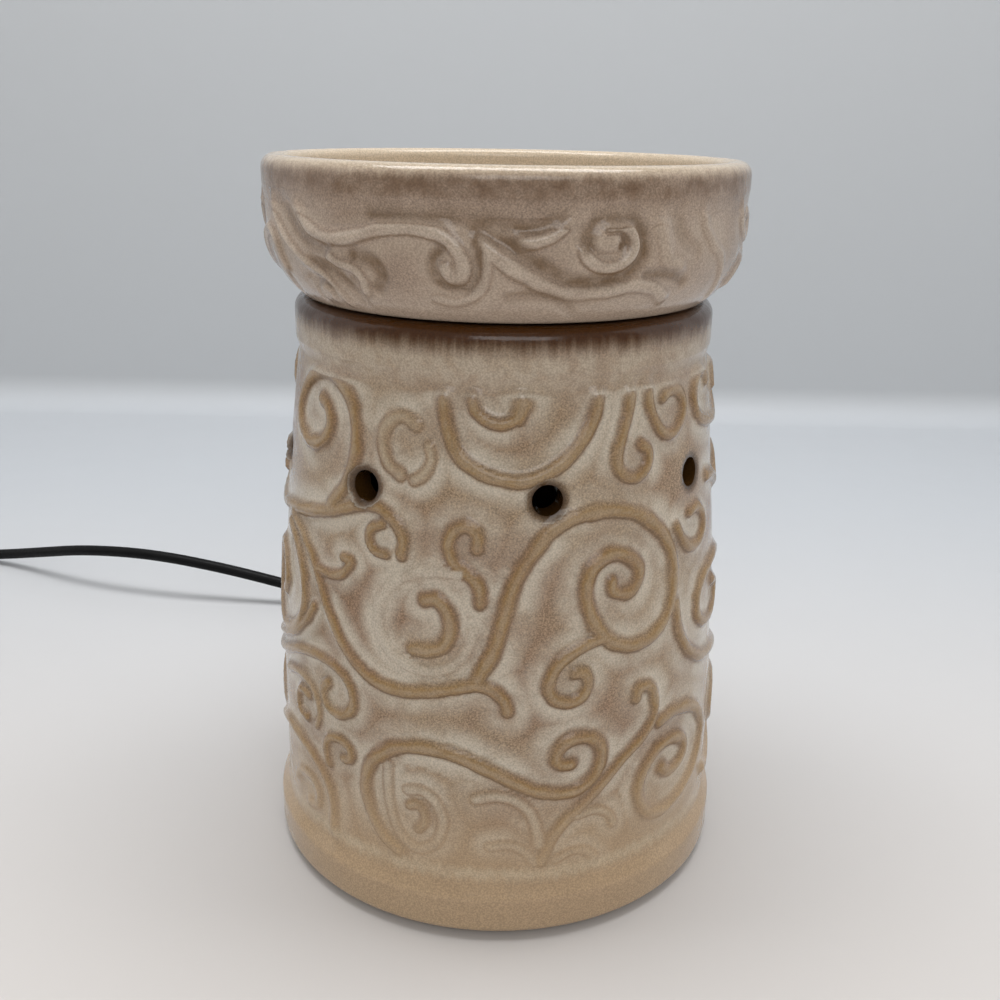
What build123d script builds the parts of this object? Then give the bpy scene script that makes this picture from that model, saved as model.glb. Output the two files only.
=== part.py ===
"""Wax melt warmer: a glazed ceramic body with a lift-off wax dish, warmed by a small globe bulb.

Millimetres, +Z up. The origin lies on the surface that the warmer stands on, under the middle of the
body. The front faces -Y, and the cord leaves the body at the back, +Y.
"""

import os
from math import cos, pi, radians, sin, sqrt, tan

from build123d import *

os.makedirs("parts", exist_ok=True)

# Ceramic body
seat_height = 137.7  # crest of the body's rim, which the dish sits on
foot_gap = 1.5  # the rubber feet hold the ceramic this far off the surface
body_wall = 5.0
belly_radius = 54.4  # the wall stands upright here
belly_height = 20.0
neck_radius = 47.4  # narrowest place, under the rim bead
neck_drop = 11.7  # from the seat down to that place
rim_bead_radius = 48.3
rim_bead_rise = 2.5  # from the neck to the bead's full width
rim_crest_round = 3.0
mouth_radius = 41.5
mouth_round = 0.8
foot_radius = 56.8
foot_wall = 6.3
foot_band_height = 10.5
foot_edge_round = 1.6
foot_shoulder_round = 1.4
ledge_radius = 42.0  # opening inside the ledge that the base plate hangs from
ledge_thickness = 5.2
recess_depth = 4.8  # from the ceramic foot up to the ledge

# Vents, counted from the front towards +X
vent_count = 8
vent_diameter = 6.5
vent_drop = 22.9  # from the neck down to the middle of the vents
vent_phase = 11.0

# Raised scrolls round the wall: bands through these bearings and heights above the foot band, which
# are drawn on a wall of scroll_wall_height and stretched to the real one
scroll_width = 3.4
scroll_height = 1.3
scroll_root = 0.8  # how deep the bands are rooted in the wall
scroll_repeats = 2
scroll_wall_height = 114.0
scroll_lines = {
    "hanging loop": [(-14, 111), (-10.2, 100.7), (0, 95.7), (10, 96.8), (20, 104), (23.3, 111)],
    "left crown": [
        (-38, 96.5),
        (-37.6, 102),
        (-40.5, 108.5),
        (-48.5, 111.3),
        (-60, 109),
        (-63, 101.5),
        (-54.5, 96.8),
        (-47.4, 101),
        (-51, 105.8),
    ],
    "left stem": [(-60, 79.8), (-42, 83.2), (-30.5, 85.6), (-24.3, 81.8), (-25.8, 78.2)],
    "great spiral": [
        (-3.5, 54),
        (1.2, 66.5),
        (8.4, 81),
        (23, 87.6),
        (36, 85.3),
        (45.8, 75),
        (45, 62.5),
        (35, 57),
        (24.5, 61.2),
        (20.2, 71.5),
        (26.5, 78.3),
        (33.4, 74.8),
        (30.5, 69.8),
    ],
    "branch": [(21, 59.6), (13.2, 54.8), (13.4, 47.9), (19.6, 47.9), (19.5, 52.5)],
    "low stem": [
        (-57.5, 75.3),
        (-48.6, 67),
        (-40.8, 56),
        (-30, 48.6),
        (-17, 48.4),
        (-4.5, 51.2),
        (1.8, 47),
    ],
    "ring": [(-17, 69.2), (-11.8, 67.6), (-12, 60.3), (-19.5, 58)],
    "middle hook": [(-4.4, 71.5), (-7.5, 76), (-11.6, 81.5), (-8.5, 85.8), (-5.2, 82.5)],
    "low wave": [
        (-25, 9),
        (-31.9, 21),
        (-23.5, 33.6),
        (-12, 34.8),
        (-1, 30.8),
        (9, 26.1),
        (19, 24.9),
        (24.9, 30.7),
        (21.5, 37.2),
        (15, 36),
        (15.6, 31.9),
    ],
    "low ring": [(-20, 23), (-15.5, 21.5), (-16.5, 17)],
    "right stem": [(12, 9), (19.5, 17.5), (28, 25.8), (36, 32.3), (40.2, 39), (37, 45)],
    "right foot": [
        (45.5, 35.8),
        (55, 34.8),
        (64.4, 26.5),
        (60, 16.4),
        (48, 11.2),
        (38.2, 14.4),
        (37.6, 23.5),
        (46, 29),
        (53, 26),
        (50.5, 21.6),
    ],
    "right drop": [(33, 111), (30.4, 104.5), (28.9, 97.5), (34.6, 94.3), (37.4, 98.5)],
    "right crown": [(39, 110), (41, 104.5), (47.6, 102), (51.8, 107), (46.5, 110.6)],
    "right hook": [(49.5, 78.5), (55, 74.4), (61, 77), (58, 82.8)],
    "right root": [(49, 60.5), (52.4, 51.5), (60, 46), (78, 41.6)],
    "side spiral": [(86, 63.5), (70, 66.6), (59.4, 60.5), (66, 53.2), (74.5, 57)],
    "side crown": [(66, 111), (58.8, 107), (66, 101), (81, 100), (89, 106)],
    "left great spiral": [
        (-66, 75.5),
        (-56.4, 66),
        (-57.6, 54.8),
        (-71, 48),
        (-83, 56),
        (-77, 67),
        (-69.5, 62),
    ],
    "left coil": [(-66, 43.3), (-50, 48.3), (-38, 46.3), (-36.6, 38.6), (-44.5, 37.8), (-44.3, 42.5)],
    "left bud": [(-66, 37.5), (-53.5, 40), (-48.3, 34.5), (-49.8, 30)],
    "left hook": [(-44.6, 22.5), (-43.4, 29.7), (-37, 29)],
    "left foot": [(-72, 21.5), (-56, 23), (-45.3, 17.3), (-43.6, 8)],
    "side foot": [(72, 9.5), (84, 11.5), (94.5, 22), (87, 31), (78, 24.5), (85, 20.5)],
    "side stem": [(67, 87.5), (82, 83), (98, 77.8)],
}

# Wax dish
dish_height = 30.3  # from the seat to the top of the rim
dish_radius = 53.4
dish_rim_radius = 54.3
dish_rim_band = 7.0  # plain band under the rim's top
dish_rim_step = 1.2  # height of the slope under that band
dish_step_round = 0.8
dish_base_radius = 45.6
dish_belly_rise = 16.3  # from the seat to where the wall stands upright
dish_wall = 4.6
dish_floor = 5.0
dish_bowl_round = 14.0
dish_lip_round = 2.0
dish_ring_depth = 5.0  # ring under the dish that centres it in the body's mouth
dish_ring_wall = 4.0
dish_clearance = 0.8  # between that ring and the mouth

# Base plate, its feet and the bridge that clamps it to the ledge
plate_thickness = 1.2
plate_clearance = 0.7  # between the plate's edge and the ceramic
plate_lip_depth = 2.0
plate_edge_round = 1.8
plate_inner_round = 0.6
plate_hole_count = 6
plate_hole_diameter = 6.0
plate_hole_circle = 48.0
plate_hole_phase = 30.0
rubber_foot_count = 4
rubber_foot_phase = 45.0
rubber_foot_radius = 6.5
rubber_foot_draft = 0.8  # the pad is this much narrower at its bottom
rubber_foot_circle = 66.0
rubber_stem_radius = 2.4
rubber_head_radius = 3.8
rubber_head_height = 2.6
rubber_fit = 0.1
bridge_width = 16.0
bridge_thickness = 1.5
bridge_end_gap = 2.4  # between the bridge's ends and the ceramic wall
screw_spacing = 74.0
screw_radius = 2.0
screw_head_radius = 3.6
screw_head_height = 2.2
screw_fit = 0.1
screw_proud = 2.0  # how far the screws stand out above the bridge

# Lamp holder
nipple_radius = 4.85
nipple_bore_radius = 3.2
nipple_fit = 0.1
nipple_proud = 0.8  # how far the nipple stands out of its nuts
nut_across_flats = 14.0
nut_height = 3.0
hickey_width = 11.0
hickey_thickness = 1.2
hickey_bend = 2.0
hickey_lap = 9.0  # how far its arms reach up beside the housing
hickey_gap = 0.1
housing_radius = 10.0
housing_height = 28.0
housing_floor = 6.0
housing_rise = 11.0  # from the bridge's top to the housing's bottom
housing_groove_depth = 0.8
housing_groove_height = 2.0
rivet_radius = 1.2
rivet_fit = 0.05
rivet_head_radius = 2.2
rivet_head_height = 0.8
rivet_head_draft = 20.0
rivet_depth = 2.0
rivet_rise = 4.0  # above the housing's bottom
shell_wall = 0.6
shell_height = 20.0
shell_fit = 0.1
contact_width = 4.0
contact_span = 8.0
contact_thickness = 0.5
contact_rise = 3.0
contact_gap = 0.15  # between the bulb's tip and the spring contact

# Globe bulb with a 12 mm screw cap
cap_radius = 6.0
cap_wall = 0.4
cap_height = 15.0
cap_lip = 1.2  # width of the ring at the cap's bottom
cap_clearance = 0.3  # between the cap and the holder's brass shell
tip_radius = 2.2
tip_height = 1.8
insulator_height = 2.4
insulator_bottom_radius = 2.8
globe_radius = 25.0
globe_rise = 34.0  # from the cap's top to the middle of the globe
glass_wall = 0.7
neck_in_cap = 8.0
neck_fit = 0.15
neck_sweep = 14.0  # radius of the curve between the bulb's neck and its globe
stem_flare_height = 3.0
stem_radius = 2.0
stem_height = 22.0
stem_fit = 0.1
lead_radius = 0.35
lead_root = 1.2  # the two leads leave the stem this far from its middle
lead_spread = 9.0
lead_rise = 9.0
filament_radius = 0.3

# Cord, and the rubber bushing it leaves the body through
cord_diameter = 4.0
cord_height = 19.0  # height of the hole in the back of the body
bushing_neck_radius = 4.3
bushing_flange_radius = 6.6
bushing_flange = 1.8
bushing_tail = 22.0
bushing_tail_radius = 4.4
bushing_end_radius = 3.0
bushing_hole_fit = 0.2
bushing_wall_fit = 0.1
tail_groove_count = 4
tail_groove_width = 1.4
tail_groove_depth = 0.6
cord_bore_fit = 0.05
cord_stop_radius = 4.6
cord_stop_width = 5.0
inner_cord_length = 14.0  # bare cord inside the body, past the stop
lead_wire_radius = 0.9
lead_wire_fit = 0.1
lead_wire_straight = 7.0
lead_wire_turn = 9.8  # how far behind the lamp holder the wires turn in under it
lead_wire_arch = 0.8
lead_wire_drop = 3.5  # below the housing, where the wires turn upwards
lead_wire_pitch = 2.0  # between the two wires at the cord's end
terminal_pitch = 9.0  # between the two wires at the lamp holder
terminal_depth = 3.0

# Switch on the cord
switch_length = 62.0
switch_width = 22.0
switch_thickness = 16.0
switch_end_width = 10.0
switch_end_thickness = 9.0
switch_shoulder = 34.0  # full-width stretch in the middle
switch_round = 2.0
switch_wheel_radius = 10.5
switch_wheel_thickness = 5.2
switch_wheel_out = 3.6  # how far the wheel stands out of the side
switch_wheel_gap = 0.4
switch_notch_count = 16
switch_notch_radius = 0.9
switch_axle_radius = 1.5
switch_axle_fit = 0.05
switch_axle_length = 11.0
switch_screw_spacing = 26.0
switch_screw_offset = 6.0  # from the middle towards the side away from the wheel
switch_screw_radius = 1.3
switch_screw_fit = 0.1
switch_screw_head_radius = 2.5
switch_screw_head_height = 1.8
switch_screw_sink = 1.0
switch_screw_length = 9.0

# Plug
plug_length = 24.0
plug_width = 25.0
plug_back_width = 16.0
plug_back_thickness = 11.0
plug_corner = 4.5
plug_tail_length = 20.0
plug_tail_radius = 4.6
plug_tail_end_radius = 3.0
blade_length = 16.0
blade_widths = (6.35, 7.9)  # the wider blade is the neutral
blade_thickness = 1.5
blade_spacing = 12.7
blade_hole_radius = 1.5
blade_hole_from_tip = 4.0
blade_tip_round = 1.5
blade_root = 4.0  # how deep the blades sit in the plug

# Coil of the put-away cord, and its tie
coil_turns = 7
coil_radius = 32.0  # to the middle of the outermost turn
coil_pitch = 4.6  # from one turn to the next, sideways
coil_layer_pitch = 4.5
coil_lift = 0.9  # room for the tie under the lowest turns
coil_climb = 0.25  # turns on either side of the reversal in which the cord climbs
tie_turn = 0.2  # where the tie sits, in turns from the coil's start
tie_width = 7.0
tie_thickness = 0.6
tie_gap = 0.15
tie_round = 2.4

# Places on the surface that the warmer stands on
switch_place = (-243.0, 92.0)
coil_place = (-211.0, 22.0)
plug_place = (-245.0, -28.0)  # end of the plug's tail

# Heights and radii that follow from the sizes above
neck_height = seat_height - neck_drop
vent_height = neck_height - vent_drop
ledge_bottom = foot_gap + recess_depth
ledge_top = ledge_bottom + ledge_thickness
foot_top = foot_gap + foot_band_height
recess_radius = foot_radius - foot_wall
body_inner_radius = belly_radius - body_wall
narrowing = belly_radius - neck_radius
wall_rise = neck_height - belly_height
wall_bend = (narrowing**2 + wall_rise**2) / (2 * narrowing)  # radius of the wall's long arc
hole_reach = belly_radius + 2 * scroll_height
plate_radius = recess_radius - plate_clearance
plate_bottom = ledge_bottom - plate_thickness
bridge_top = ledge_top + bridge_thickness
hickey_top = bridge_top + hickey_thickness
housing_bottom = bridge_top + housing_rise
housing_top = housing_bottom + housing_height
bore_floor = housing_bottom + housing_floor
shell_bore_radius = cap_radius + cap_clearance
shell_radius = shell_bore_radius + shell_wall
contact_top = bore_floor + contact_rise
tip_bottom = contact_top + contact_gap
tip_top = tip_bottom + tip_height
cap_bottom = tip_top + insulator_height
cap_top = cap_bottom + cap_height
globe_centre = cap_top + globe_rise
glass_neck_radius = cap_radius - cap_wall - neck_fit
glass_neck_bottom = cap_top - neck_in_cap
stem_top = cap_top + stem_height
filament_height = stem_top + lead_rise
cord_radius = cord_diameter / 2
cord_bore_radius = cord_radius + cord_bore_fit
bushing_outer_face = belly_radius + bushing_wall_fit
bushing_inner_face = sqrt(body_inner_radius**2 - bushing_flange_radius**2) - bushing_wall_fit
bushing_end = bushing_outer_face + bushing_flange + bushing_tail
cord_stop_face = bushing_inner_face - bushing_flange
inner_cord_end = cord_stop_face - cord_stop_width - inner_cord_length
switch_middle = switch_thickness / 2
coil_bottom = coil_lift + cord_radius
coil_top = coil_bottom + coil_layer_pitch


def bend_radii(points):
    """The largest radius that fits each corner of a route, from its shorter run and its turn."""
    radii = []
    for before, corner, after in zip(points, points[1:], points[2:]):
        run_in = Vector(*corner) - Vector(*before)
        run_out = Vector(*after) - Vector(*corner)
        half_turn = radians(run_in.get_angle(run_out)) / 2
        radii.append(0.45 * min(run_in.length, run_out.length) / tan(half_turn))
    return radii


def report_tube(name, solid, path, radius):
    """Prints how a tube's volume compares with its section times its length."""
    length = sum(edge.length for edge in path.edges())
    share = solid.volume / (pi * radius**2 * length)
    print(f"{name}: {length:.1f} mm long, volume over section times length {share:.4f}")


def ribbed_tail(start, end, start_radius, end_radius):
    """The outline of a tapered tail with grooves, as radius and place along its axis."""
    step = (end - start) / tail_groove_count
    width = tail_groove_width * (1 if end > start else -1)
    points = [(start_radius, start)]
    for groove in range(tail_groove_count):
        place = start + (groove + 0.5) * step
        outer = start_radius + (end_radius - start_radius) * (groove + 0.5) / tail_groove_count
        points += [
            (outer, place),
            (outer - tail_groove_depth, place),
            (outer - tail_groove_depth, place + width),
            (outer, place + width),
        ]
    return points + [(end_radius, end)]


def wall_radius(height):
    """The radius of the body's outer wall at a height."""
    rise = max(0, height - belly_height)
    return belly_radius - wall_bend + sqrt(wall_bend**2 - rise**2)


def scroll_band(points):
    """One raised scroll: an even band along tangent arcs, cut out of the skin over the wall."""
    bearings = [bearing for bearing, _ in points]
    middle = (min(bearings) + max(bearings)) / 2
    stretch = (neck_height - foot_top) / scroll_wall_height
    flat = []
    for bearing, rise in points:
        height = foot_top + rise * stretch
        flat.append((wall_radius(height) * sin(radians(bearing - middle)), height))
    facing = radians(middle)
    side = (cos(facing), sin(facing), 0)
    out = (sin(facing), -cos(facing), 0)
    with BuildPart() as band:
        with BuildSketch(Plane(origin=(0, 0, 0), x_dir=side, z_dir=out)):
            with BuildLine() as line:
                arc = ThreePointArc(*flat[:3])
                for point in flat[3:]:
                    arc = TangentArc(arc @ 1, point, tangent=arc % 1)
            SlotArc(Wire(line.edges()), scroll_width)
        extrude(amount=hole_reach)
        add(scroll_skin.part, mode=Mode.INTERSECT)
    return band.part


# Scrolls: a thin skin over the wall, and the bands that are cut out of it
with BuildPart() as scroll_skin:
    with BuildSketch(Plane.XZ):
        with BuildLine():
            for lift in (scroll_height, -scroll_root):
                Line((belly_radius + lift, foot_top), (belly_radius + lift, belly_height))
                TangentArc(
                    (belly_radius + lift, belly_height), (neck_radius + lift, neck_height), tangent=(0, 1)
                )
            for radius, height in ((belly_radius, foot_top), (neck_radius, neck_height)):
                Line((radius - scroll_root, height), (radius + scroll_height, height))
        make_face()
    revolve(axis=Axis.Z)

scroll_bands = [scroll_band(points) for points in scroll_lines.values()]

# Ceramic body: one revolved wall with its rim bead, foot band and inner ledge, the scrolls, then the holes
vent_planes = []
for vent in range(vent_count):
    bearing = radians(vent_phase + vent * 360 / vent_count)
    vent_planes.append(Plane(origin=(0, 0, vent_height), z_dir=(sin(bearing), -cos(bearing), 0)))

with BuildPart() as warmer_body:
    with BuildSketch(Plane.XZ):
        with BuildLine():
            FilletPolyline(
                (recess_radius, foot_gap),
                (foot_radius, foot_gap),
                (foot_radius, foot_top),
                (belly_radius, foot_top),
                (belly_radius, belly_height),
                radius=[foot_edge_round, foot_shoulder_round, 0],
            )
            TangentArc((belly_radius, belly_height), (neck_radius, neck_height), tangent=(0, 1))
            FilletPolyline(
                (neck_radius, neck_height),
                (rim_bead_radius, neck_height + rim_bead_rise),
                (rim_bead_radius, seat_height),
                (mouth_radius, seat_height),
                (mouth_radius, neck_height + rim_bead_rise),
                (neck_radius - body_wall, neck_height),
                radius=[rim_bead_rise, rim_crest_round, mouth_round, 0],
            )
            TangentArc(
                (body_inner_radius, belly_height),
                (neck_radius - body_wall, neck_height),
                tangent=(0, 1),
            )
            Polyline(
                (body_inner_radius, belly_height),
                (body_inner_radius, ledge_top),
                (ledge_radius, ledge_top),
                (ledge_radius, ledge_bottom),
                (recess_radius, ledge_bottom),
                (recess_radius, foot_gap),
            )
        make_face()
    revolve(axis=Axis.Z)
    with PolarLocations(0, scroll_repeats):
        add(scroll_bands)
    with BuildSketch(*vent_planes):
        Circle(vent_diameter / 2)
    extrude(amount=hole_reach, mode=Mode.SUBTRACT)
    with BuildSketch(Plane(origin=(0, 0, cord_height), z_dir=(0, 1, 0))):
        Circle(bushing_neck_radius + bushing_hole_fit)
    extrude(amount=hole_reach, mode=Mode.SUBTRACT)

# Wax dish: a revolved bowl with a plain rim band, and a centring ring underneath
rim_height = seat_height + dish_height
band_bottom = rim_height - dish_rim_band
dish_belly_height = seat_height + dish_belly_rise
dish_ring_radius = mouth_radius - dish_clearance
bowl_radius = dish_radius - dish_wall
bowl_floor = seat_height + dish_floor

with BuildPart() as wax_dish:
    with BuildSketch(Plane.XZ):
        with BuildLine():
            Polyline(
                (0, bowl_floor),
                (0, seat_height),
                (dish_ring_radius - dish_ring_wall, seat_height),
                (dish_ring_radius - dish_ring_wall, seat_height - dish_ring_depth),
                (dish_ring_radius, seat_height - dish_ring_depth),
                (dish_ring_radius, seat_height),
                (dish_base_radius, seat_height),
            )
            TangentArc(
                (dish_radius, dish_belly_height), (dish_base_radius, seat_height), tangent=(0, -1)
            )
            FilletPolyline(
                (dish_radius, dish_belly_height),
                (dish_radius, band_bottom - dish_rim_step),
                (dish_rim_radius, band_bottom),
                (dish_rim_radius, rim_height),
                (bowl_radius, rim_height),
                (bowl_radius, bowl_floor),
                (0, bowl_floor),
                radius=[dish_step_round, dish_step_round, dish_lip_round, dish_lip_round, dish_bowl_round],
            )
        make_face()
    revolve(axis=Axis.Z)

# Base plate: a pressed steel disc with a turned-down edge, hung under the ledge
with BuildPart() as base_plate:
    with BuildSketch(Plane.XZ):
        with BuildLine():
            FilletPolyline(
                (0, ledge_bottom),
                (plate_radius, ledge_bottom),
                (plate_radius, plate_bottom - plate_lip_depth),
                (plate_radius - plate_thickness, plate_bottom - plate_lip_depth),
                (plate_radius - plate_thickness, plate_bottom),
                (0, plate_bottom),
                radius=[plate_edge_round, 0, 0, plate_inner_round],
            )
            Line((0, plate_bottom), (0, ledge_bottom))
        make_face()
    revolve(axis=Axis.Z)
    with BuildSketch(Plane.XY.offset(plate_bottom)):
        with PolarLocations(rubber_foot_circle / 2, rubber_foot_count, start_angle=rubber_foot_phase):
            Circle(rubber_stem_radius + rubber_fit)
        with GridLocations(screw_spacing, 0, 2, 1):
            Circle(screw_radius + screw_fit)
        with PolarLocations(plate_hole_circle / 2, plate_hole_count, start_angle=plate_hole_phase):
            Circle(plate_hole_diameter / 2)
    extrude(amount=plate_thickness, mode=Mode.SUBTRACT)

# Rubber feet: a pad under the plate, a stem through it and a barbed head above it
with BuildPart() as foot_form:
    with BuildSketch(Plane.XZ):
        with BuildLine():
            Polyline(
                (0, 0),
                (rubber_foot_radius - rubber_foot_draft, 0),
                (rubber_foot_radius, plate_bottom),
                (rubber_stem_radius, plate_bottom),
                (rubber_stem_radius, ledge_bottom),
                (rubber_head_radius, ledge_bottom),
                (rubber_stem_radius / 2, ledge_bottom + rubber_head_height),
                (0, ledge_bottom + rubber_head_height),
                (0, 0),
            )
        make_face()
    revolve(axis=Axis.Z)

with BuildPart() as rubber_feet:
    with PolarLocations(rubber_foot_circle / 2, rubber_foot_count, start_angle=rubber_foot_phase):
        add(foot_form.part)

# Bridge: a steel strap across the ledge's opening, which the two screws draw down
with BuildPart() as clamp_bridge:
    with BuildSketch(Plane.XY.offset(ledge_top)):
        Circle(body_inner_radius - bridge_end_gap)
        Rectangle(2 * body_inner_radius, bridge_width, mode=Mode.INTERSECT)
        Circle(nipple_radius + nipple_fit, mode=Mode.SUBTRACT)
        with GridLocations(screw_spacing, 0, 2, 1):
            Circle(screw_radius + screw_fit, mode=Mode.SUBTRACT)
    extrude(amount=bridge_thickness)

with BuildPart() as screw_form:
    with BuildSketch(Plane.XZ):
        with BuildLine():
            FilletPolyline(
                (0, plate_bottom - screw_head_height),
                (screw_head_radius, plate_bottom - screw_head_height),
                (screw_head_radius, plate_bottom),
                (screw_radius, plate_bottom),
                (screw_radius, bridge_top + screw_proud),
                (0, bridge_top + screw_proud),
                radius=[screw_head_height / 2, 0, 0, 0],
            )
            Line((0, bridge_top + screw_proud), (0, plate_bottom - screw_head_height))
        make_face()
    revolve(axis=Axis.Z)

with BuildPart() as clamp_screws:
    with GridLocations(screw_spacing, 0, 2, 1):
        add(screw_form.part)

# Lamp holder: a threaded nipple through the bridge, two nuts, and a U bracket under the housing
lower_nut_bottom = ledge_top - nut_height
with BuildPart() as socket_nipple:
    with BuildSketch(Plane.XY.offset(lower_nut_bottom - nipple_proud)):
        Circle(nipple_radius)
        Circle(nipple_bore_radius, mode=Mode.SUBTRACT)
    extrude(amount=hickey_top + 2 * nut_height + 2 * nipple_proud - ledge_top)

with BuildPart() as nipple_nuts:
    for nut_bottom in (lower_nut_bottom, hickey_top):
        with BuildSketch(Plane.XY.offset(nut_bottom)):
            RegularPolygon(nut_across_flats / 2, 6, major_radius=False)
            Circle(nipple_radius + nipple_fit, mode=Mode.SUBTRACT)
        extrude(amount=nut_height)

arm_inner = housing_radius + hickey_gap
arm_outer = arm_inner + hickey_thickness
arm_top = housing_bottom + hickey_lap
rivet_height = housing_bottom + rivet_rise
with BuildPart() as socket_hickey:
    with BuildSketch(Plane.XZ):
        with BuildLine():
            FilletPolyline(
                (-arm_outer, arm_top),
                (-arm_outer, bridge_top),
                (arm_outer, bridge_top),
                (arm_outer, arm_top),
                radius=hickey_bend + hickey_thickness,
            )
            Line((arm_outer, arm_top), (arm_inner, arm_top))
            FilletPolyline(
                (arm_inner, arm_top),
                (arm_inner, hickey_top),
                (-arm_inner, hickey_top),
                (-arm_inner, arm_top),
                radius=hickey_bend,
            )
            Line((-arm_inner, arm_top), (-arm_outer, arm_top))
        make_face()
    extrude(amount=hickey_width / 2, both=True)
    with BuildSketch(Plane.XY.offset(bridge_top)):
        Circle(nipple_radius + nipple_fit)
    extrude(amount=hickey_thickness, mode=Mode.SUBTRACT)
    with BuildSketch(Plane.YZ):
        with Locations((0, rivet_height)):
            Circle(rivet_radius + rivet_fit)
    extrude(amount=arm_outer, both=True, mode=Mode.SUBTRACT)

rivet_length = rivet_depth + hickey_gap + hickey_thickness
with BuildPart() as socket_rivets:
    for side in (1, -1):
        rivet_plane = Plane(origin=(side * arm_outer, 0, rivet_height), z_dir=(side, 0, 0))
        with BuildSketch(rivet_plane):
            Circle(rivet_radius)
        extrude(amount=-rivet_length)
        with BuildSketch(rivet_plane):
            Circle(rivet_head_radius)
        extrude(amount=rivet_head_height, taper=rivet_head_draft)

groove_middle = bore_floor + housing_height / 3
with BuildPart() as socket_housing:
    with BuildSketch(Plane.XZ):
        with BuildLine():
            Polyline(
                (0, housing_bottom),
                (housing_radius, housing_bottom),
                (housing_radius, groove_middle - housing_groove_height / 2),
                (housing_radius - housing_groove_depth, groove_middle - housing_groove_height / 2),
                (housing_radius - housing_groove_depth, groove_middle + housing_groove_height / 2),
                (housing_radius, groove_middle + housing_groove_height / 2),
                (housing_radius, housing_top),
                (shell_radius + shell_fit, housing_top),
                (shell_radius + shell_fit, bore_floor),
                (0, bore_floor),
                (0, housing_bottom),
            )
        make_face()
    revolve(axis=Axis.Z)
    with BuildSketch(Plane.XY.offset(housing_bottom)):
        with GridLocations(terminal_pitch, 0, 2, 1):
            Circle(lead_wire_radius + lead_wire_fit)
    extrude(amount=terminal_depth + lead_wire_fit, mode=Mode.SUBTRACT)
    for side in (1, -1):
        with BuildSketch(Plane(origin=(side * housing_radius, 0, rivet_height), z_dir=(-side, 0, 0))):
            Circle(rivet_radius + rivet_fit)
        extrude(amount=rivet_depth + rivet_fit, mode=Mode.SUBTRACT)

with BuildPart() as socket_shell:
    with BuildSketch(Plane.XY.offset(bore_floor)):
        Circle(shell_radius)
        Circle(shell_bore_radius, mode=Mode.SUBTRACT)
    extrude(amount=shell_height)

with BuildPart() as socket_contact:
    with BuildSketch(Plane.XZ):
        with BuildLine():
            half_span = contact_span / 2
            ThreePointArc((-half_span, bore_floor), (0, contact_top), (half_span, bore_floor))
            Line((half_span, bore_floor), (half_span - contact_thickness, bore_floor))
            ThreePointArc(
                (half_span - contact_thickness, bore_floor),
                (0, contact_top - contact_thickness),
                (contact_thickness - half_span, bore_floor),
            )
            Line((contact_thickness - half_span, bore_floor), (-half_span, bore_floor))
        make_face()
    extrude(amount=contact_width / 2, both=True)

# Bulb: solder tip, glass insulator, brass cap, globe, stem, leads and filament
with BuildPart() as bulb_tip:
    with BuildSketch(Plane.XZ):
        with BuildLine():
            TangentArc((0, tip_bottom), (tip_radius, tip_top), tangent=(1, 0))
            Polyline((tip_radius, tip_top), (0, tip_top), (0, tip_bottom))
        make_face()
    revolve(axis=Axis.Z)

with BuildPart() as bulb_insulator:
    with BuildSketch(Plane.XZ):
        with BuildLine():
            Polyline(
                (0, tip_top),
                (insulator_bottom_radius, tip_top),
                (cap_radius - cap_lip / 2, cap_bottom),
                (0, cap_bottom),
                (0, tip_top),
            )
        make_face()
    revolve(axis=Axis.Z)

with BuildPart() as bulb_cap:
    with BuildSketch(Plane.XZ):
        with BuildLine():
            Polyline(
                (cap_radius - cap_lip, cap_bottom),
                (cap_radius, cap_bottom),
                (cap_radius, cap_top),
                (cap_radius - cap_wall, cap_top),
                (cap_radius - cap_wall, cap_bottom + cap_wall),
                (cap_radius - cap_lip, cap_bottom + cap_wall),
                (cap_radius - cap_lip, cap_bottom),
            )
        make_face()
    revolve(axis=Axis.Z)


def glass_line(skin):
    """Draws the bulb's outline, moved in by the given skin, from its neck to its crown."""
    neck = glass_neck_radius - skin
    globe = globe_radius - skin
    sweep_radius = neck_sweep + skin
    across = neck + sweep_radius
    reach = globe + sweep_radius
    sweep_height = globe_centre - sqrt(reach**2 - across**2)
    joint = (across * globe / reach, globe_centre - (globe_centre - sweep_height) * globe / reach)
    Line((neck, glass_neck_bottom), (neck, sweep_height))
    TangentArc((neck, sweep_height), joint, tangent=(0, 1))
    ThreePointArc(joint, (globe, globe_centre), (0, globe_centre + globe))
    return neck, globe_centre + globe


with BuildPart() as bulb_glass:
    with BuildSketch(Plane.XZ):
        with BuildLine():
            outer_neck, outer_crown = glass_line(0)
            inner_neck, inner_crown = glass_line(glass_wall)
            Line((outer_neck, glass_neck_bottom), (inner_neck, glass_neck_bottom))
            Line((0, outer_crown), (0, inner_crown))
        make_face()
    revolve(axis=Axis.Z)

with BuildPart() as bulb_stem:
    with BuildSketch(Plane.XZ):
        with BuildLine():
            Polyline(
                (0, glass_neck_bottom),
                (glass_neck_radius - glass_wall - stem_fit, glass_neck_bottom),
                (stem_radius, glass_neck_bottom + stem_flare_height),
                (stem_radius, stem_top),
                (0, stem_top),
                (0, glass_neck_bottom),
            )
        make_face()
    revolve(axis=Axis.Z)

with BuildPart() as bulb_leads:
    for side in (1, -1):
        with BuildLine() as lead_path:
            FilletPolyline(
                (side * lead_root, 0, stem_top),
                (side * lead_root, 0, stem_top + lead_rise / 4),
                (side * lead_spread, 0, stem_top + 3 * lead_rise / 4),
                (side * lead_spread, 0, filament_height),
                radius=lead_rise / 8,
            )
        with BuildSketch(Plane.XY.offset(stem_top)):
            with Locations((side * lead_root, 0)):
                Circle(lead_radius)
        sweep(path=lead_path.line)

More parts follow.
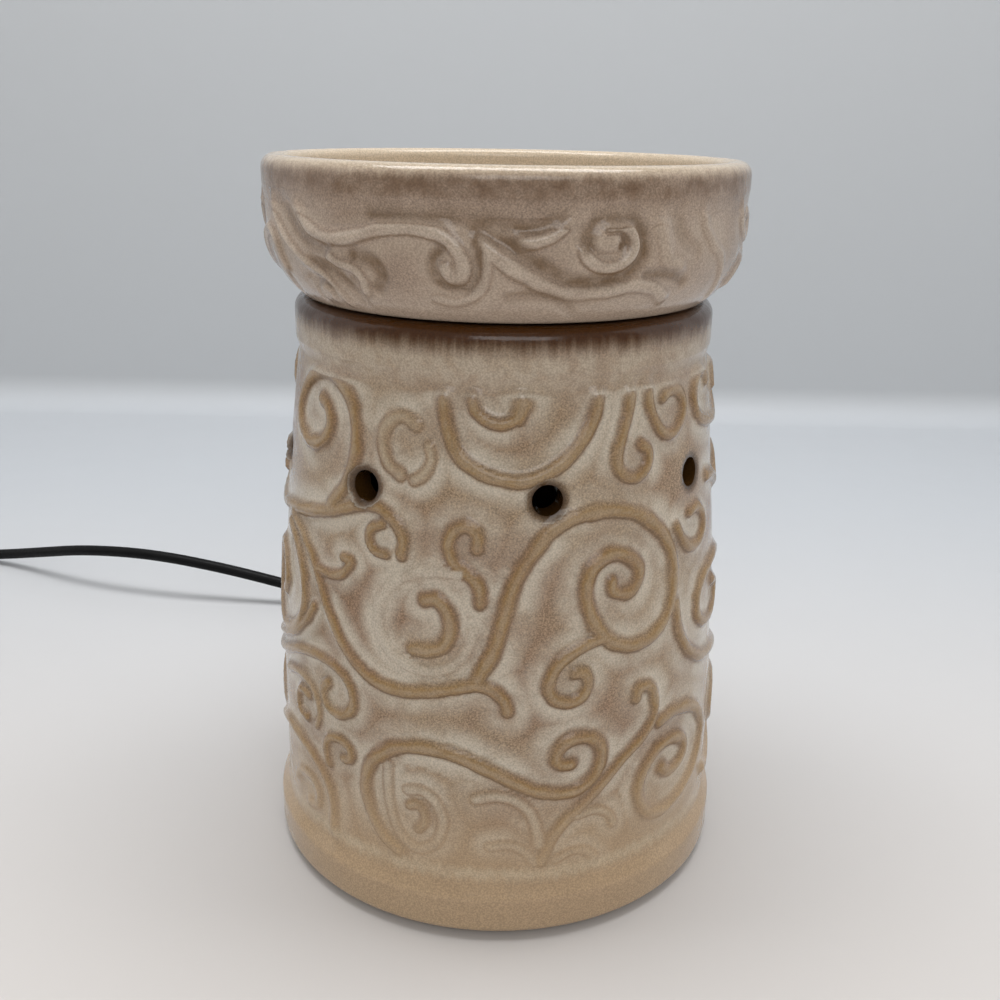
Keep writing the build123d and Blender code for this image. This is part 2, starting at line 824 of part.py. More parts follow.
with BuildPart() as bulb_filament:
    with BuildLine() as filament_path:
        ThreePointArc(
            (-lead_spread, 0, filament_height),
            (0, 0, filament_height + lead_spread),
            (lead_spread, 0, filament_height),
        )
    with BuildSketch(Plane.XY.offset(filament_height)):
        with Locations((-lead_spread, 0)):
            Circle(filament_radius)
    sweep(path=filament_path.line)

# Cord bushing: flanged on both sides of the wall, with a tapered ribbed tail outside
cord_axis = Axis((0, 0, cord_height), (0, 1, 0))
with BuildPart() as cord_bushing:
    with BuildSketch(Plane.XY.offset(cord_height)):
        with BuildLine():
            Polyline(
                (cord_bore_radius, bushing_end),
                (cord_bore_radius, cord_stop_face),
                (bushing_flange_radius, cord_stop_face),
                (bushing_flange_radius, bushing_inner_face),
                (bushing_neck_radius, bushing_inner_face),
                (bushing_neck_radius, bushing_outer_face),
                (bushing_flange_radius, bushing_outer_face),
                (bushing_flange_radius, bushing_end - bushing_tail),
                *ribbed_tail(
                    bushing_end - bushing_tail, bushing_end, bushing_tail_radius, bushing_end_radius
                ),
                (cord_bore_radius, bushing_end),
            )
        make_face()
    revolve(axis=cord_axis)

with BuildPart() as cord_stop:
    with BuildSketch(Plane(origin=(0, cord_stop_face, cord_height), z_dir=(0, -1, 0))):
        Circle(cord_stop_radius)
        Circle(cord_bore_radius, mode=Mode.SUBTRACT)
    extrude(amount=cord_stop_width)

with BuildPart() as inner_cord:
    with BuildSketch(Plane(origin=(0, bushing_end, cord_height), z_dir=(0, -1, 0))):
        Circle(cord_radius)
    extrude(amount=bushing_end - inner_cord_end)

# Lead wires: from the cord's end, over the nipple and up into the lamp holder
with BuildPart() as lead_wires:
    for side in (1, -1):
        wire_x = side * lead_wire_pitch / 2
        terminal_x = side * terminal_pitch / 2
        wire_route = [
            (wire_x, inner_cord_end, cord_height),
            (wire_x, inner_cord_end - lead_wire_straight, cord_height),
            (terminal_x, lead_wire_turn, cord_height + lead_wire_arch),
            (terminal_x, 0, housing_bottom - lead_wire_drop),
            (terminal_x, 0, housing_bottom + terminal_depth),
        ]
        with BuildLine() as wire_path:
            FilletPolyline(*wire_route, radius=bend_radii(wire_route))
        with BuildSketch(Plane(origin=wire_path.line @ 0, z_dir=wire_path.line % 0)):
            Circle(lead_wire_radius)
        sweep(path=wire_path.line)

# Free cord from the bushing to the switch: down to the surface, up in a long low hump, and away
switch_x, switch_y = switch_place
switch_route = [
    (0, bushing_end, cord_height),
    (0, bushing_end + 12.5, cord_height),
    (-3, 104, 13.5),
    (-13, 113.5, 6.5),
    (-31, 118, cord_radius),
    (-54, 120, cord_radius),
    (-78, 121.8, 7.6),
    (-104, 124, 13.4),
    (-132, 127.8, 17.0),
    (-160, 136, 15.0),
    (-184, 148, 8.5),
    (-206, 158, 3.0),
    (-230, 159, 2.4),
    (switch_x, switch_y + switch_length / 2 + 17, switch_middle),
    (switch_x, switch_y + switch_length / 2, switch_middle),
]
with BuildPart() as cord_to_switch:
    with BuildLine() as switch_path:
        FilletPolyline(*switch_route, radius=bend_radii(switch_route))
    with BuildSketch(Plane(origin=switch_path.line @ 0, z_dir=switch_path.line % 0)):
        Circle(cord_radius)
    sweep(path=switch_path.line)

# Switch: two moulded halves, a notched thumbwheel on an upright axle and two sunk screws
switch_plane = Plane(origin=(switch_x, switch_y, 0))
wheel_x = switch_width / 2 + switch_wheel_out - switch_wheel_radius
pocket_height = switch_wheel_thickness + 2 * switch_wheel_gap
pocket_bottom = switch_middle - pocket_height / 2
screw_spots = [(-switch_screw_offset, side * switch_screw_spacing / 2) for side in (1, -1)]
with BuildPart() as switch_form:
    with BuildSketch(switch_plane):
        with BuildLine():
            Polyline(
                (switch_end_width / 2, switch_length / 2),
                (switch_width / 2, switch_shoulder / 2),
                (switch_width / 2, -switch_shoulder / 2),
                (switch_end_width / 2, -switch_length / 2),
                (-switch_end_width / 2, -switch_length / 2),
                (-switch_width / 2, -switch_shoulder / 2),
                (-switch_width / 2, switch_shoulder / 2),
                (-switch_end_width / 2, switch_length / 2),
                close=True,
            )
        make_face()
    extrude(amount=switch_thickness)
    end_drop = (switch_thickness - switch_end_thickness) / 2
    with BuildSketch(Plane(origin=(switch_x, switch_y, 0), x_dir=(0, 1, 0), z_dir=(1, 0, 0))):
        with BuildLine():
            Polyline(
                (switch_length / 2, end_drop),
                (switch_length / 2, switch_thickness - end_drop),
                (switch_shoulder / 2, switch_thickness),
                (-switch_shoulder / 2, switch_thickness),
                (-switch_length / 2, switch_thickness - end_drop),
                (-switch_length / 2, end_drop),
                (-switch_shoulder / 2, 0),
                (switch_shoulder / 2, 0),
                close=True,
            )
        make_face()
    extrude(amount=switch_width, both=True, mode=Mode.INTERSECT)
    fillet(switch_form.faces().filter_by(Axis.Z).edges(), switch_round)

with BuildPart() as switch_lower:
    add(switch_form.part)
    split(bisect_by=Plane.XY.offset(switch_middle), keep=Keep.BOTTOM)
    with BuildSketch(switch_plane.offset(pocket_bottom)):
        with Locations((wheel_x, 0)):
            Circle(switch_wheel_radius + switch_wheel_gap)
    extrude(amount=pocket_height, mode=Mode.SUBTRACT)
    with BuildSketch(switch_plane.offset(switch_middle - switch_axle_length / 2)):
        with Locations((wheel_x, 0)):
            Circle(switch_axle_radius + switch_axle_fit)
    extrude(amount=switch_axle_length, mode=Mode.SUBTRACT)
    with BuildSketch(switch_plane):
        with Locations(*screw_spots):
            Circle(switch_screw_head_radius + switch_screw_fit)
    extrude(amount=switch_screw_sink + switch_screw_head_height, mode=Mode.SUBTRACT)
    with BuildSketch(switch_plane):
        with Locations(*screw_spots):
            Circle(switch_screw_radius + switch_screw_fit)
    extrude(amount=switch_middle, mode=Mode.SUBTRACT)

with BuildPart() as switch_upper:
    add(switch_form.part)
    split(bisect_by=Plane.XY.offset(switch_middle), keep=Keep.TOP)
    with BuildSketch(switch_plane.offset(pocket_bottom)):
        with Locations((wheel_x, 0)):
            Circle(switch_wheel_radius + switch_wheel_gap)
    extrude(amount=pocket_height, mode=Mode.SUBTRACT)
    with BuildSketch(switch_plane.offset(switch_middle - switch_axle_length / 2)):
        with Locations((wheel_x, 0)):
            Circle(switch_axle_radius + switch_axle_fit)
    extrude(amount=switch_axle_length, mode=Mode.SUBTRACT)
    with BuildSketch(switch_plane):
        with Locations(*screw_spots):
            Circle(switch_screw_radius + switch_screw_fit)
    extrude(
        amount=switch_screw_sink + switch_screw_head_height + switch_screw_length + switch_screw_fit,
        mode=Mode.SUBTRACT,
    )

with BuildPart() as switch_wheel:
    with BuildSketch(switch_plane.offset(switch_middle - switch_wheel_thickness / 2)):
        with Locations((wheel_x, 0)):
            Circle(switch_wheel_radius)
            with PolarLocations(switch_wheel_radius, switch_notch_count):
                Circle(switch_notch_radius, mode=Mode.SUBTRACT)
            Circle(switch_axle_radius + switch_axle_fit, mode=Mode.SUBTRACT)
    extrude(amount=switch_wheel_thickness)

with BuildPart() as switch_axle:
    with BuildSketch(switch_plane.offset(switch_middle - switch_axle_length / 2)):
        with Locations((wheel_x, 0)):
            Circle(switch_axle_radius)
    extrude(amount=switch_axle_length)

with BuildPart() as switch_screws:
    with BuildSketch(switch_plane.offset(switch_screw_sink)):
        with Locations(*screw_spots):
            Circle(switch_screw_head_radius)
    extrude(amount=switch_screw_head_height)
    with BuildSketch(switch_plane.offset(switch_screw_sink + switch_screw_head_height)):
        with Locations(*screw_spots):
            Circle(switch_screw_radius)
    extrude(amount=switch_screw_length)

# Free cord from the switch to the coil
coil_x, coil_y = coil_place
coil_route = [
    (switch_x, switch_y - switch_length / 2, switch_middle),
    (switch_x, switch_y - switch_length / 2 - 9, switch_middle),
    (switch_x - 0.4, 44, 5.4),
    (coil_x - coil_radius, coil_y + cord_diameter + 10, coil_bottom),
    (coil_x - coil_radius, coil_y + cord_diameter, coil_bottom),
]
with BuildPart() as cord_to_coil:
    with BuildLine() as coil_lead_path:
        FilletPolyline(*coil_route, radius=bend_radii(coil_route))
    with BuildSketch(Plane(origin=coil_lead_path.line @ 0, z_dir=coil_lead_path.line % 0)):
        Circle(cord_radius)
    sweep(path=coil_lead_path.line)


def coil_state(turn):
    """Radius, height and their rates per turn: in along the lower layer, out along the upper one."""
    before = turn - coil_turns / 2
    if abs(before) >= coil_climb:
        inward = coil_turns / 2 - abs(before)
        rate = coil_pitch if before > 0 else -coil_pitch
        return coil_radius - coil_pitch * inward, coil_top if before > 0 else coil_bottom, rate, 0
    inward = coil_turns / 2 - coil_climb / 2 - before**2 / (2 * coil_climb)
    share = (before / coil_climb + 1) / 2
    height = coil_bottom + coil_layer_pitch * share**2 * (3 - 2 * share)
    climb_rate = coil_layer_pitch * 6 * share * (1 - share) / (2 * coil_climb)
    return coil_radius - coil_pitch * inward, height, coil_pitch * before / coil_climb, climb_rate


def coil_point(turn):
    """A point of the coil's middle line and its direction, counted in turns from the coil's start."""
    radius, height, radius_rate, climb_rate = coil_state(turn)
    angle = pi + 2 * pi * turn
    outwards = Vector(cos(angle), sin(angle), 0)
    along = Vector(-sin(angle), cos(angle), 0)
    place = Vector(coil_x, coil_y, height) + outwards * radius
    direction = outwards * radius_rate + along * (2 * pi * radius) + Vector(0, 0, climb_rate)
    return place, direction.normalized()


def biarc(start, start_way, end, end_way):
    """Draws two arcs that leave one point and reach the next in the given directions."""
    chord = end - start
    both = start_way + end_way
    spread = 2 * (1 - start_way.dot(end_way))
    reach = (sqrt(chord.dot(both) ** 2 + spread * chord.dot(chord)) - chord.dot(both)) / spread
    first_corner = start + start_way * reach
    last_corner = end - end_way * reach
    middle = (first_corner + last_corner) * 0.5
    TangentArc(start, middle, tangent=start_way)
    TangentArc(middle, end, tangent=(last_corner - first_corner).normalized())


# Coil: one unbroken tube, its ends straight for one diameter
end_way = Vector(0, -1, 0)
quarter_turns = [coil_point(quarter / 4) for quarter in range(4 * coil_turns + 1)]
quarter_turns[0] = (quarter_turns[0][0], end_way)
quarter_turns[-1] = (quarter_turns[-1][0], end_way)
coil_start = Vector(coil_x - coil_radius, coil_y + cord_diameter, coil_bottom)
coil_end = Vector(coil_x - coil_radius, coil_y - cord_diameter, coil_top)
with BuildPart() as cord_coil:
    with BuildLine() as coil_path:
        Line(coil_start, quarter_turns[0][0])
        for (here, way), (there, next_way) in zip(quarter_turns, quarter_turns[1:]):
            biarc(here, way, there, next_way)
        Line(quarter_turns[-1][0], coil_end)
    with BuildSketch(Plane(origin=coil_start, z_dir=end_way)):
        Circle(cord_radius)
    sweep(path=coil_path.line)

# Tie: a flat band round all the turns at one place
tie_bearing = pi + 2 * pi * tie_turn
tie_inner = coil_radius - coil_pitch * ((coil_turns - 1) / 2 + tie_turn) - cord_radius
tie_inner = sqrt(tie_inner**2 - (tie_width / 2) ** 2) - 2 * tie_gap
tie_outer = coil_radius + cord_radius - coil_pitch * tie_turn + 2 * tie_gap
tie_low = coil_lift - tie_gap
tie_high = coil_top + cord_radius + tie_gap
tie_plane = Plane(
    origin=(coil_x, coil_y, 0),
    x_dir=(cos(tie_bearing), sin(tie_bearing), 0),
    z_dir=(sin(tie_bearing), -cos(tie_bearing), 0),
)
with BuildPart() as cord_tie:
    with BuildSketch(tie_plane):
        with Locations(((tie_inner + tie_outer) / 2, (tie_low + tie_high) / 2)):
            RectangleRounded(
                tie_outer - tie_inner + 2 * tie_thickness,
                tie_high - tie_low + 2 * tie_thickness,
                tie_round + tie_thickness,
            )
            RectangleRounded(
                tie_outer - tie_inner, tie_high - tie_low, tie_round, mode=Mode.SUBTRACT
            )
    extrude(amount=tie_width / 2, both=True)

# Free cord from the coil to the plug
plug_x, plug_y = plug_place
plug_route = [
    tuple(coil_end),
    (coil_end.X, coil_end.Y - 8, coil_top),
    (coil_end.X - 0.6, coil_end.Y - 18, coil_top - 1.3),
    (plug_x + 0.4, plug_y + 17, coil_top - 1.3),
    (plug_x, plug_y + 8, coil_top),
    (plug_x, plug_y, coil_top),
]
with BuildPart() as cord_to_plug:
    with BuildLine() as plug_lead_path:
        FilletPolyline(*plug_route, radius=bend_radii(plug_route))
    with BuildSketch(Plane(origin=plug_lead_path.line @ 0, z_dir=plug_lead_path.line % 0)):
        Circle(cord_radius)
    sweep(path=plug_lead_path.line)

# Plug: a moulded body that narrows to a ribbed tail, with two flat blades
plug_plane = Plane(origin=(plug_x, 0, coil_top), x_dir=(1, 0, 0), z_dir=(0, -1, 0))
plug_back = plug_y - plug_tail_length
plug_face = plug_back - plug_length
blade_spots = [(-blade_spacing / 2, blade_widths[0]), (blade_spacing / 2, blade_widths[1])]
with BuildPart() as plug_body:
    with BuildSketch(plug_plane.offset(-plug_back)):
        RectangleRounded(plug_back_width, plug_back_thickness, plug_corner)
    with BuildSketch(plug_plane.offset(-plug_face)):
        RectangleRounded(plug_width, 2 * coil_top, plug_corner)
    loft()
    with BuildSketch(Plane(origin=(plug_x, 0, coil_top))):
        with BuildLine():
            Polyline(
                (0, plug_back),
                *ribbed_tail(plug_back, plug_y, plug_tail_radius, plug_tail_end_radius),
                (0, plug_y),
                close=True,
            )
        make_face()
    revolve(axis=Axis((plug_x, 0, coil_top), (0, 1, 0)))
    for blade_x, blade_width in blade_spots:
        with BuildSketch(plug_plane.offset(-plug_face)):
            with Locations((blade_x, 0)):
                Rectangle(blade_thickness, blade_width)
        extrude(amount=-blade_root, mode=Mode.SUBTRACT)

blade_tip = plug_face - blade_length
blade_plane = Plane(origin=(plug_x, 0, coil_top), x_dir=(0, 1, 0), z_dir=(1, 0, 0))
with BuildPart() as plug_blades:
    for blade_x, blade_width in blade_spots:
        with BuildSketch(blade_plane.offset(blade_x)):
            with BuildLine():
                FilletPolyline(
                    (plug_face + blade_root, blade_width / 2),
                    (blade_tip, blade_width / 2),
                    (blade_tip, -blade_width / 2),
                    (plug_face + blade_root, -blade_width / 2),
                    radius=blade_tip_round,
                )
                Line(
                    (plug_face + blade_root, -blade_width / 2), (plug_face + blade_root, blade_width / 2)
                )
            make_face()
            with Locations((blade_tip + blade_hole_from_tip, 0)):
                Circle(blade_hole_radius, mode=Mode.SUBTRACT)
        extrude(amount=blade_thickness / 2, both=True)

# What the cord's tubes measure
free_routes = {
    "cord_to_switch": switch_route,
    "cord_to_coil": coil_route,
    "cord_to_plug": plug_route,
}
for name, route in free_routes.items():
    print(name, "bend radii", [round(radius, 1) for radius in bend_radii(route)])
report_tube("cord_to_switch", cord_to_switch.part, switch_path.line, cord_radius)
report_tube("cord_to_coil", cord_to_coil.part, coil_lead_path.line, cord_radius)
report_tube("cord_coil", cord_coil.part, coil_path.line, cord_radius)
report_tube("cord_to_plug", cord_to_plug.part, plug_lead_path.line, cord_radius)

coil_samples = [edge @ (step / 4) for edge in coil_path.line.edges() for step in range(4)]
half_turn_samples = len(coil_samples) // (2 * coil_turns)
least_gap = min(
    (one - other).length - cord_diameter
    for index, one in enumerate(coil_samples)
    for other in coil_samples[index + half_turn_samples :]
)
print(f"cord_coil: least gap to itself {least_gap:.2f} mm")

pieces = {
    "warmer_body": warmer_body,
    "wax_dish": wax_dish,
    "base_plate": base_plate,
    "rubber_feet": rubber_feet,
    "clamp_bridge": clamp_bridge,
    "clamp_screws": clamp_screws,
    "socket_nipple": socket_nipple,
    "nipple_nuts": nipple_nuts,
    "socket_hickey": socket_hickey,
    "socket_rivets": socket_rivets,
    "socket_housing": socket_housing,
    "socket_shell": socket_shell,
    "socket_contact": socket_contact,
    "bulb_tip": bulb_tip,
    "bulb_insulator": bulb_insulator,
    "bulb_cap": bulb_cap,
    "bulb_glass": bulb_glass,
    "bulb_stem": bulb_stem,
    "bulb_leads": bulb_leads,
    "bulb_filament": bulb_filament,
    "cord_bushing": cord_bushing,
    "cord_stop": cord_stop,
    "inner_cord": inner_cord,
    "lead_wires": lead_wires,
    "cord_to_switch": cord_to_switch,
    "switch_lower": switch_lower,
    "switch_upper": switch_upper,
    "switch_wheel": switch_wheel,
    "switch_axle": switch_axle,
    "switch_screws": switch_screws,
    "cord_to_coil": cord_to_coil,
    "cord_coil": cord_coil,
    "cord_tie": cord_tie,
    "cord_to_plug": cord_to_plug,
    "plug_body": plug_body,
    "plug_blades": plug_blades,
}
for name, piece in pieces.items():
    piece.part.label = name
    export_step(piece.part, f"parts/{name}.step")
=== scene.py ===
"""Looks of the wax melt warmer: glazed ceramic with raised scrollwork, a lamp inside and a black cord.

Fields and routes are in millimetres, and meshes in metres, in the CAD part's own frame: +Z up, the front
towards -Y. A bearing is in degrees from the front towards +X.
"""

import logging
from dataclasses import dataclass, field
from enum import Enum
from math import ceil, cos, hypot, pi, radians, sin, sqrt, tan
from typing import Any, Callable, Iterable

import bmesh
import bpy
import numpy as np
from mathutils import Matrix, Vector, noise
from mathutils.kdtree import KDTree


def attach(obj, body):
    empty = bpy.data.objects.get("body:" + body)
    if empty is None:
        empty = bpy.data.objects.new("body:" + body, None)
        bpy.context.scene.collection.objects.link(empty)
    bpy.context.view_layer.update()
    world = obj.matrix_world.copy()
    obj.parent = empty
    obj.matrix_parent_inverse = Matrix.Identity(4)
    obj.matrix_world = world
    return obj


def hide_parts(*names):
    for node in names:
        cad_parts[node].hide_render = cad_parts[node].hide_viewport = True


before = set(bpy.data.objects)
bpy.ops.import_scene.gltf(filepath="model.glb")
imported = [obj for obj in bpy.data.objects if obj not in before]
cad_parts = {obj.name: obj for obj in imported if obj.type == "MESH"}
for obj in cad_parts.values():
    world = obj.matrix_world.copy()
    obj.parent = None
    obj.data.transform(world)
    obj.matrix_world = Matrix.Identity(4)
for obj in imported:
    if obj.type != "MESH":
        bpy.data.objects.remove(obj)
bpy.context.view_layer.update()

MM = 0.001
# The reach of a place with no scroll near it.
FAR_REACH = 9.0
Pair = tuple[float, float]
Place = tuple[float, float, float]
Colour = tuple[float, float, float]
Outline = list[Pair]
Socket = bpy.types.NodeSocket
log = logging.getLogger("wax_warmer")


def srgb(red: int, green: int, blue: int) -> Colour:
    """Turns a screen colour, 0 to 255, into the linear colour that shaders use."""
    shares = (channel / 255 for channel in (red, green, blue))
    return tuple(s / 12.92 if s <= 0.04045 else ((s + 0.055) / 1.055) ** 2.4 for s in shares)


def smooth(low: float, high: float, value: np.ndarray) -> np.ndarray:
    """Eases values from 0 at low to 1 at high."""
    share = np.clip((value - low) / (high - low), 0, 1)
    return share * share * (3 - 2 * share)


class Shader:
    """A node material that is built up socket by socket."""

    def __init__(self, name: str) -> None:
        """Starts an empty material.

        Args:
            name: The material's name.
        """
        self.material = bpy.data.materials.new(f"{name}_finish")
        self.material.use_nodes = True
        self.tree = self.material.node_tree
        self.tree.nodes.clear()
        self.place = self.add("ShaderNodeTexCoord").outputs["Object"]

    def feed(self, socket: Socket, value: Any) -> None:
        """Links a socket to another socket, or sets it.

        Args:
            socket: The socket to feed.
            value: A socket, a number, a vector or a colour.
        """
        if isinstance(value, bpy.types.NodeSocket):
            self.tree.links.new(value, socket)
        elif socket.type == "RGBA":
            socket.default_value = (*value, 1)
        else:
            socket.default_value = value

    def add(self, kind: str, sockets: dict[str, Any] | None = None, **settings: Any) -> bpy.types.Node:
        """Adds a node.

        Args:
            kind: The node's type.
            sockets: What feeds its inputs, by name.
            **settings: The node's own settings.

        Returns:
            The node.
        """
        node = self.tree.nodes.new(kind)
        for name, value in settings.items():
            setattr(node, name, value)
        for name, value in (sockets or {}).items():
            self.feed(node.inputs[name], value)
        return node

    def attribute(self, name: str) -> Socket:
        """Reads a number that the mesh keeps at its points."""
        return self.add("ShaderNodeAttribute", attribute_name=name).outputs["Fac"]

    def along(self, axis: str) -> Socket:
        """How far along an axis a place is, in metres."""
        return self.add("ShaderNodeSeparateXYZ", {"Vector": self.place}).outputs[axis]

    def cloud(self, scale: float, detail: float = 2.0, stretch: Colour = (1, 1, 1)) -> Socket:
        """Makes soft noise from 0 to 1.

        Args:
            scale: Blotches per metre.
            detail: How many finer layers it has.
            stretch: How it is packed along each axis.

        Returns:
            The noise.
        """
        turned = self.add("ShaderNodeMapping", {"Vector": self.place, "Scale": stretch}).outputs[0]
        sockets = {"Vector": turned, "Scale": scale, "Detail": detail}
        return self.add("ShaderNodeTexNoise", sockets).outputs[0]

    def ease(self, value: Socket, low: float, high: float, start: float = 0, end: float = 1) -> Socket:
        """Eases a value from start at low to end at high, and stops there."""
        sockets = {"Value": value, "From Min": low, "From Max": high, "To Min": start, "To Max": end}
        return self.add("ShaderNodeMapRange", sockets, interpolation_type="SMOOTHSTEP").outputs[0]

    def work(self, operation: str, first: Any, second: Any) -> Socket:
        """Works out one number from two.

        Args:
            operation: The math node's operation.
            first: The first number.
            second: The second number.

        Returns:
            The result.
        """
        node = self.add("ShaderNodeMath", operation=operation)
        self.feed(node.inputs[0], first)
        self.feed(node.inputs[1], second)
        return node.outputs[0]

    def mix(self, share: Any, first: Any, second: Any, blend: str = "MIX") -> Socket:
        """Mixes two colours.

        Args:
            share: How much of the second colour shows.
            first: The colour below.
            second: The colour above.
            blend: How they blend.

        Returns:
            The mixed colour.
        """
        node = self.add("ShaderNodeMix", data_type="RGBA", blend_type=blend)
        for index, value in ((0, share), (6, first), (7, second)):
            self.feed(node.inputs[index], value)
        return node.outputs[2]

    def dapple(self, colour: Socket, specks: Socket, span: Pair, tones: Pair) -> Socket:
        """Makes a colour darker and lighter in specks.

        Args:
            colour: The colour.
            specks: The noise that the specks follow.
            span: The noise at the darkest and at the lightest.
            tones: What the colour is multiplied by there.

        Returns:
            The dappled colour.
        """
        tone = self.ease(specks, *span, *tones)
        grey = self.add("ShaderNodeCombineColor", dict.fromkeys(("Red", "Green", "Blue"), tone))
        return self.mix(1.0, colour, grey.outputs[0], "MULTIPLY")

    def bump(self, height: Socket, depth: float, strength: float) -> Socket:
        """Raises the surface by a pattern that is so many metres deep."""
        sockets = {"Height": height, "Distance": depth, "Strength": strength}
        return self.add("ShaderNodeBump", sockets).outputs[0]

    def finish(self, **sockets: Any) -> bpy.types.Material:
        """Ends the material in one principled surface.

        Args:
            **sockets: The surface's inputs, with an underscore for a space.

        Returns:
            The material.
        """
        named = {name.replace("_", " "): value for name, value in sockets.items()}
        surface = self.add("ShaderNodeBsdfPrincipled", named)
        output = self.add("ShaderNodeOutputMaterial")
        self.tree.links.new(surface.outputs[0], output.inputs[0])
        return self.material


@dataclass(frozen=True)
class GlazeFinish:
    """A mottled glaze that pools pale beside the scrolls and breaks yellow-brown on them, with painted
    shade at their edges.

    Attributes:
        name: The material's name.
        ground: Colour of the glaze between the scrolls.
        blush: Colour of its warmer patches.
        amber_and_highlight: Colour on top of the scrolls: yellow-brown glaze on the body, a pale painted
            highlight on the dish.
        pool: Colour where the glaze pools: beside strong scrolls, and over weak ones.
        shaded_hollow: Colour of painted shade: the thin line beside and under the scrolls, and the
            hollows.
        low: Colour towards the bottom.
        low_span: Heights between which that colour fades out, in millimetres.
        rim: Colour of the top edge.
        rim_span: Heights between which that colour comes in, in millimetres.
        bands: Bands round the piece: each one's colour, and the heights between which it comes and goes.
        speckle: How strongly the ground is speckled.
        runs: How far the colours run down in streaks, in millimetres.
        stain_and_sheen: Colour of places that the mesh marks: stains on the body, and the dish's paler
            inside, partly painted reflection.
    """

    name: str
    ground: Colour
    blush: Colour
    amber_and_highlight: Colour
    pool: Colour
    shaded_hollow: Colour
    low: Colour
    low_span: Pair
    rim: Colour
    rim_span: Pair
    bands: tuple[tuple[Colour, float, float], ...]
    speckle: float
    runs: float
    stain_and_sheen: Colour

    # Where colours come in and go out, in half widths from the middle of the nearest scroll.
    CREST_OUT = (0.2, 1.0)
    # Where the painted shade line along the scrolls' edges comes in and goes out.
    SHADE_LINE_IN = (0.55, 0.85)
    SHADE_LINE_OUT = (0.85, 1.2)
    POOL_IN = (0.7, 1.55)
    POOL_OUT = (1.5, 4.4)

    def material(self) -> bpy.types.Material:
        """Makes the glaze's material.

        Returns:
            The material.
        """
        shader = Shader(self.name)
        thin = shader.ease(shader.cloud(260, 5), 0.3, 0.62, 0.5, 1.0)
        patches = shader.ease(shader.cloud(48, 5), 0.36, 0.64)
        colour = shader.mix(patches, self.ground, self.blush)
        tones = (1 - self.speckle, 1 + self.speckle / 2)
        colour = shader.dapple(colour, shader.cloud(2900, 3), (0.33, 0.67), tones)
        colour = self.over_scrolls(shader, colour, thin)
        colour = self.by_height(shader, colour, thin)
        # Stain colour: real stains round the vents, and on the dish its inside, whose pale tint is
        # partly painted reflection.
        colour = shader.mix(shader.attribute("stain_and_sheen"), colour, self.stain_and_sheen)
        return shader.finish(
            Base_Color=shader.dapple(colour, shader.cloud(2600, 2), (0.3, 0.7), (0.78, 1.1)),
            Roughness=shader.ease(shader.cloud(300, 2), 0.3, 0.7, 0.12, 0.26),
            Normal=shader.bump(shader.cloud(420, 3), 0.0004, 0.4),
            Specular_IOR_Level=0.3,
            Coat_Weight=0.25,
            Coat_Roughness=0.05,
        )

    def over_scrolls(self, shader: Shader, colour: Socket, thin: Socket) -> Socket:
        """Colours the glaze on and beside the scrolls, and paints shade at their edges and in the
        hollows.

        Args:
            shader: The material.
            colour: The glaze's colour so far.
            thin: How thin the glaze is.

        Returns:
            The new colour.
        """
        wobble = shader.ease(shader.cloud(240, 3), 0.2, 0.8, -0.16, 0.16)
        reach = shader.work("ADD", shader.attribute("reach"), wobble)
        strength = shader.attribute("strength")
        weak = shader.ease(strength, 0.15, 0.5, 1, 0)
        beside = shader.work("MAXIMUM", shader.ease(reach, *self.POOL_IN), weak)
        near = shader.work("MULTIPLY", beside, shader.ease(reach, *self.POOL_OUT, 1, 0))
        thick = shader.ease(shader.cloud(80, 4), 0.34, 0.62, 0.25, 0.95)
        colour = shader.mix(shader.work("MULTIPLY", near, thick), colour, self.pool)
        shown = shader.work("MINIMUM", shader.work("MULTIPLY", strength, 2.5), 1.0)
        # On the scrolls' tops: yellow-brown glaze on the body, a pale painted highlight on the dish.
        top = shader.work("MULTIPLY", shader.ease(reach, *self.CREST_OUT, 1, 0), shown)
        crest = shader.mix(shader.ease(reach, 0.1, 0.6, 0.3, 0), self.amber_and_highlight, self.pool)
        crest = shader.mix(shader.ease(strength, 0.15, 0.9), self.pool, crest)
        colour = shader.mix(shader.work("MULTIPLY", top, thin), colour, crest)
        # Painted shade: a thin dark line along each scroll's edges, heaviest on the side below its
        # middle line.
        outer = shader.ease(reach, *self.SHADE_LINE_OUT, 1, 0)
        line = shader.work("MULTIPLY", shader.ease(reach, *self.SHADE_LINE_IN), outer)
        line = shader.work("MULTIPLY", line, shader.attribute("below"))
        colour = shader.mix(line, colour, self.shaded_hollow)
        # Painted shade in the hollows of the sunk lines.
        deep = shader.work("MULTIPLY", shader.attribute("shaded_hollow"), thin)
        return shader.mix(deep, colour, self.shaded_hollow)

    def by_height(self, shader: Shader, colour: Socket, thin: Socket) -> Socket:
        """Colours the bottom, the bands and the rim, whose edges run down in streaks.

        Args:
            shader: The material.
            colour: The glaze's colour so far.
            thin: How thin the glaze is.

        Returns:
            The new colour.
        """
        streaks = shader.work("MULTIPLY", shader.cloud(800, 3, (1, 1, 0.09)), self.runs * MM)
        height = shader.work("SUBTRACT", shader.along("Z"), streaks)
        low = shader.ease(height, self.low_span[0] * MM, self.low_span[1] * MM, 0.85, 0)
        colour = shader.mix(low, colour, self.low)
        for tint, bottom, top in self.bands:
            middle = (bottom + top) / 2 * MM
            rise = shader.ease(height, bottom * MM, middle)
            fall = shader.ease(height, middle, top * MM, 1, 0)
            band = shader.work("MULTIPLY", shader.work("MULTIPLY", rise, fall), thin)
            colour = shader.mix(band, colour, tint)
        rim = shader.ease(height, self.rim_span[0] * MM, self.rim_span[1] * MM)
        return shader.mix(rim, colour, self.rim)


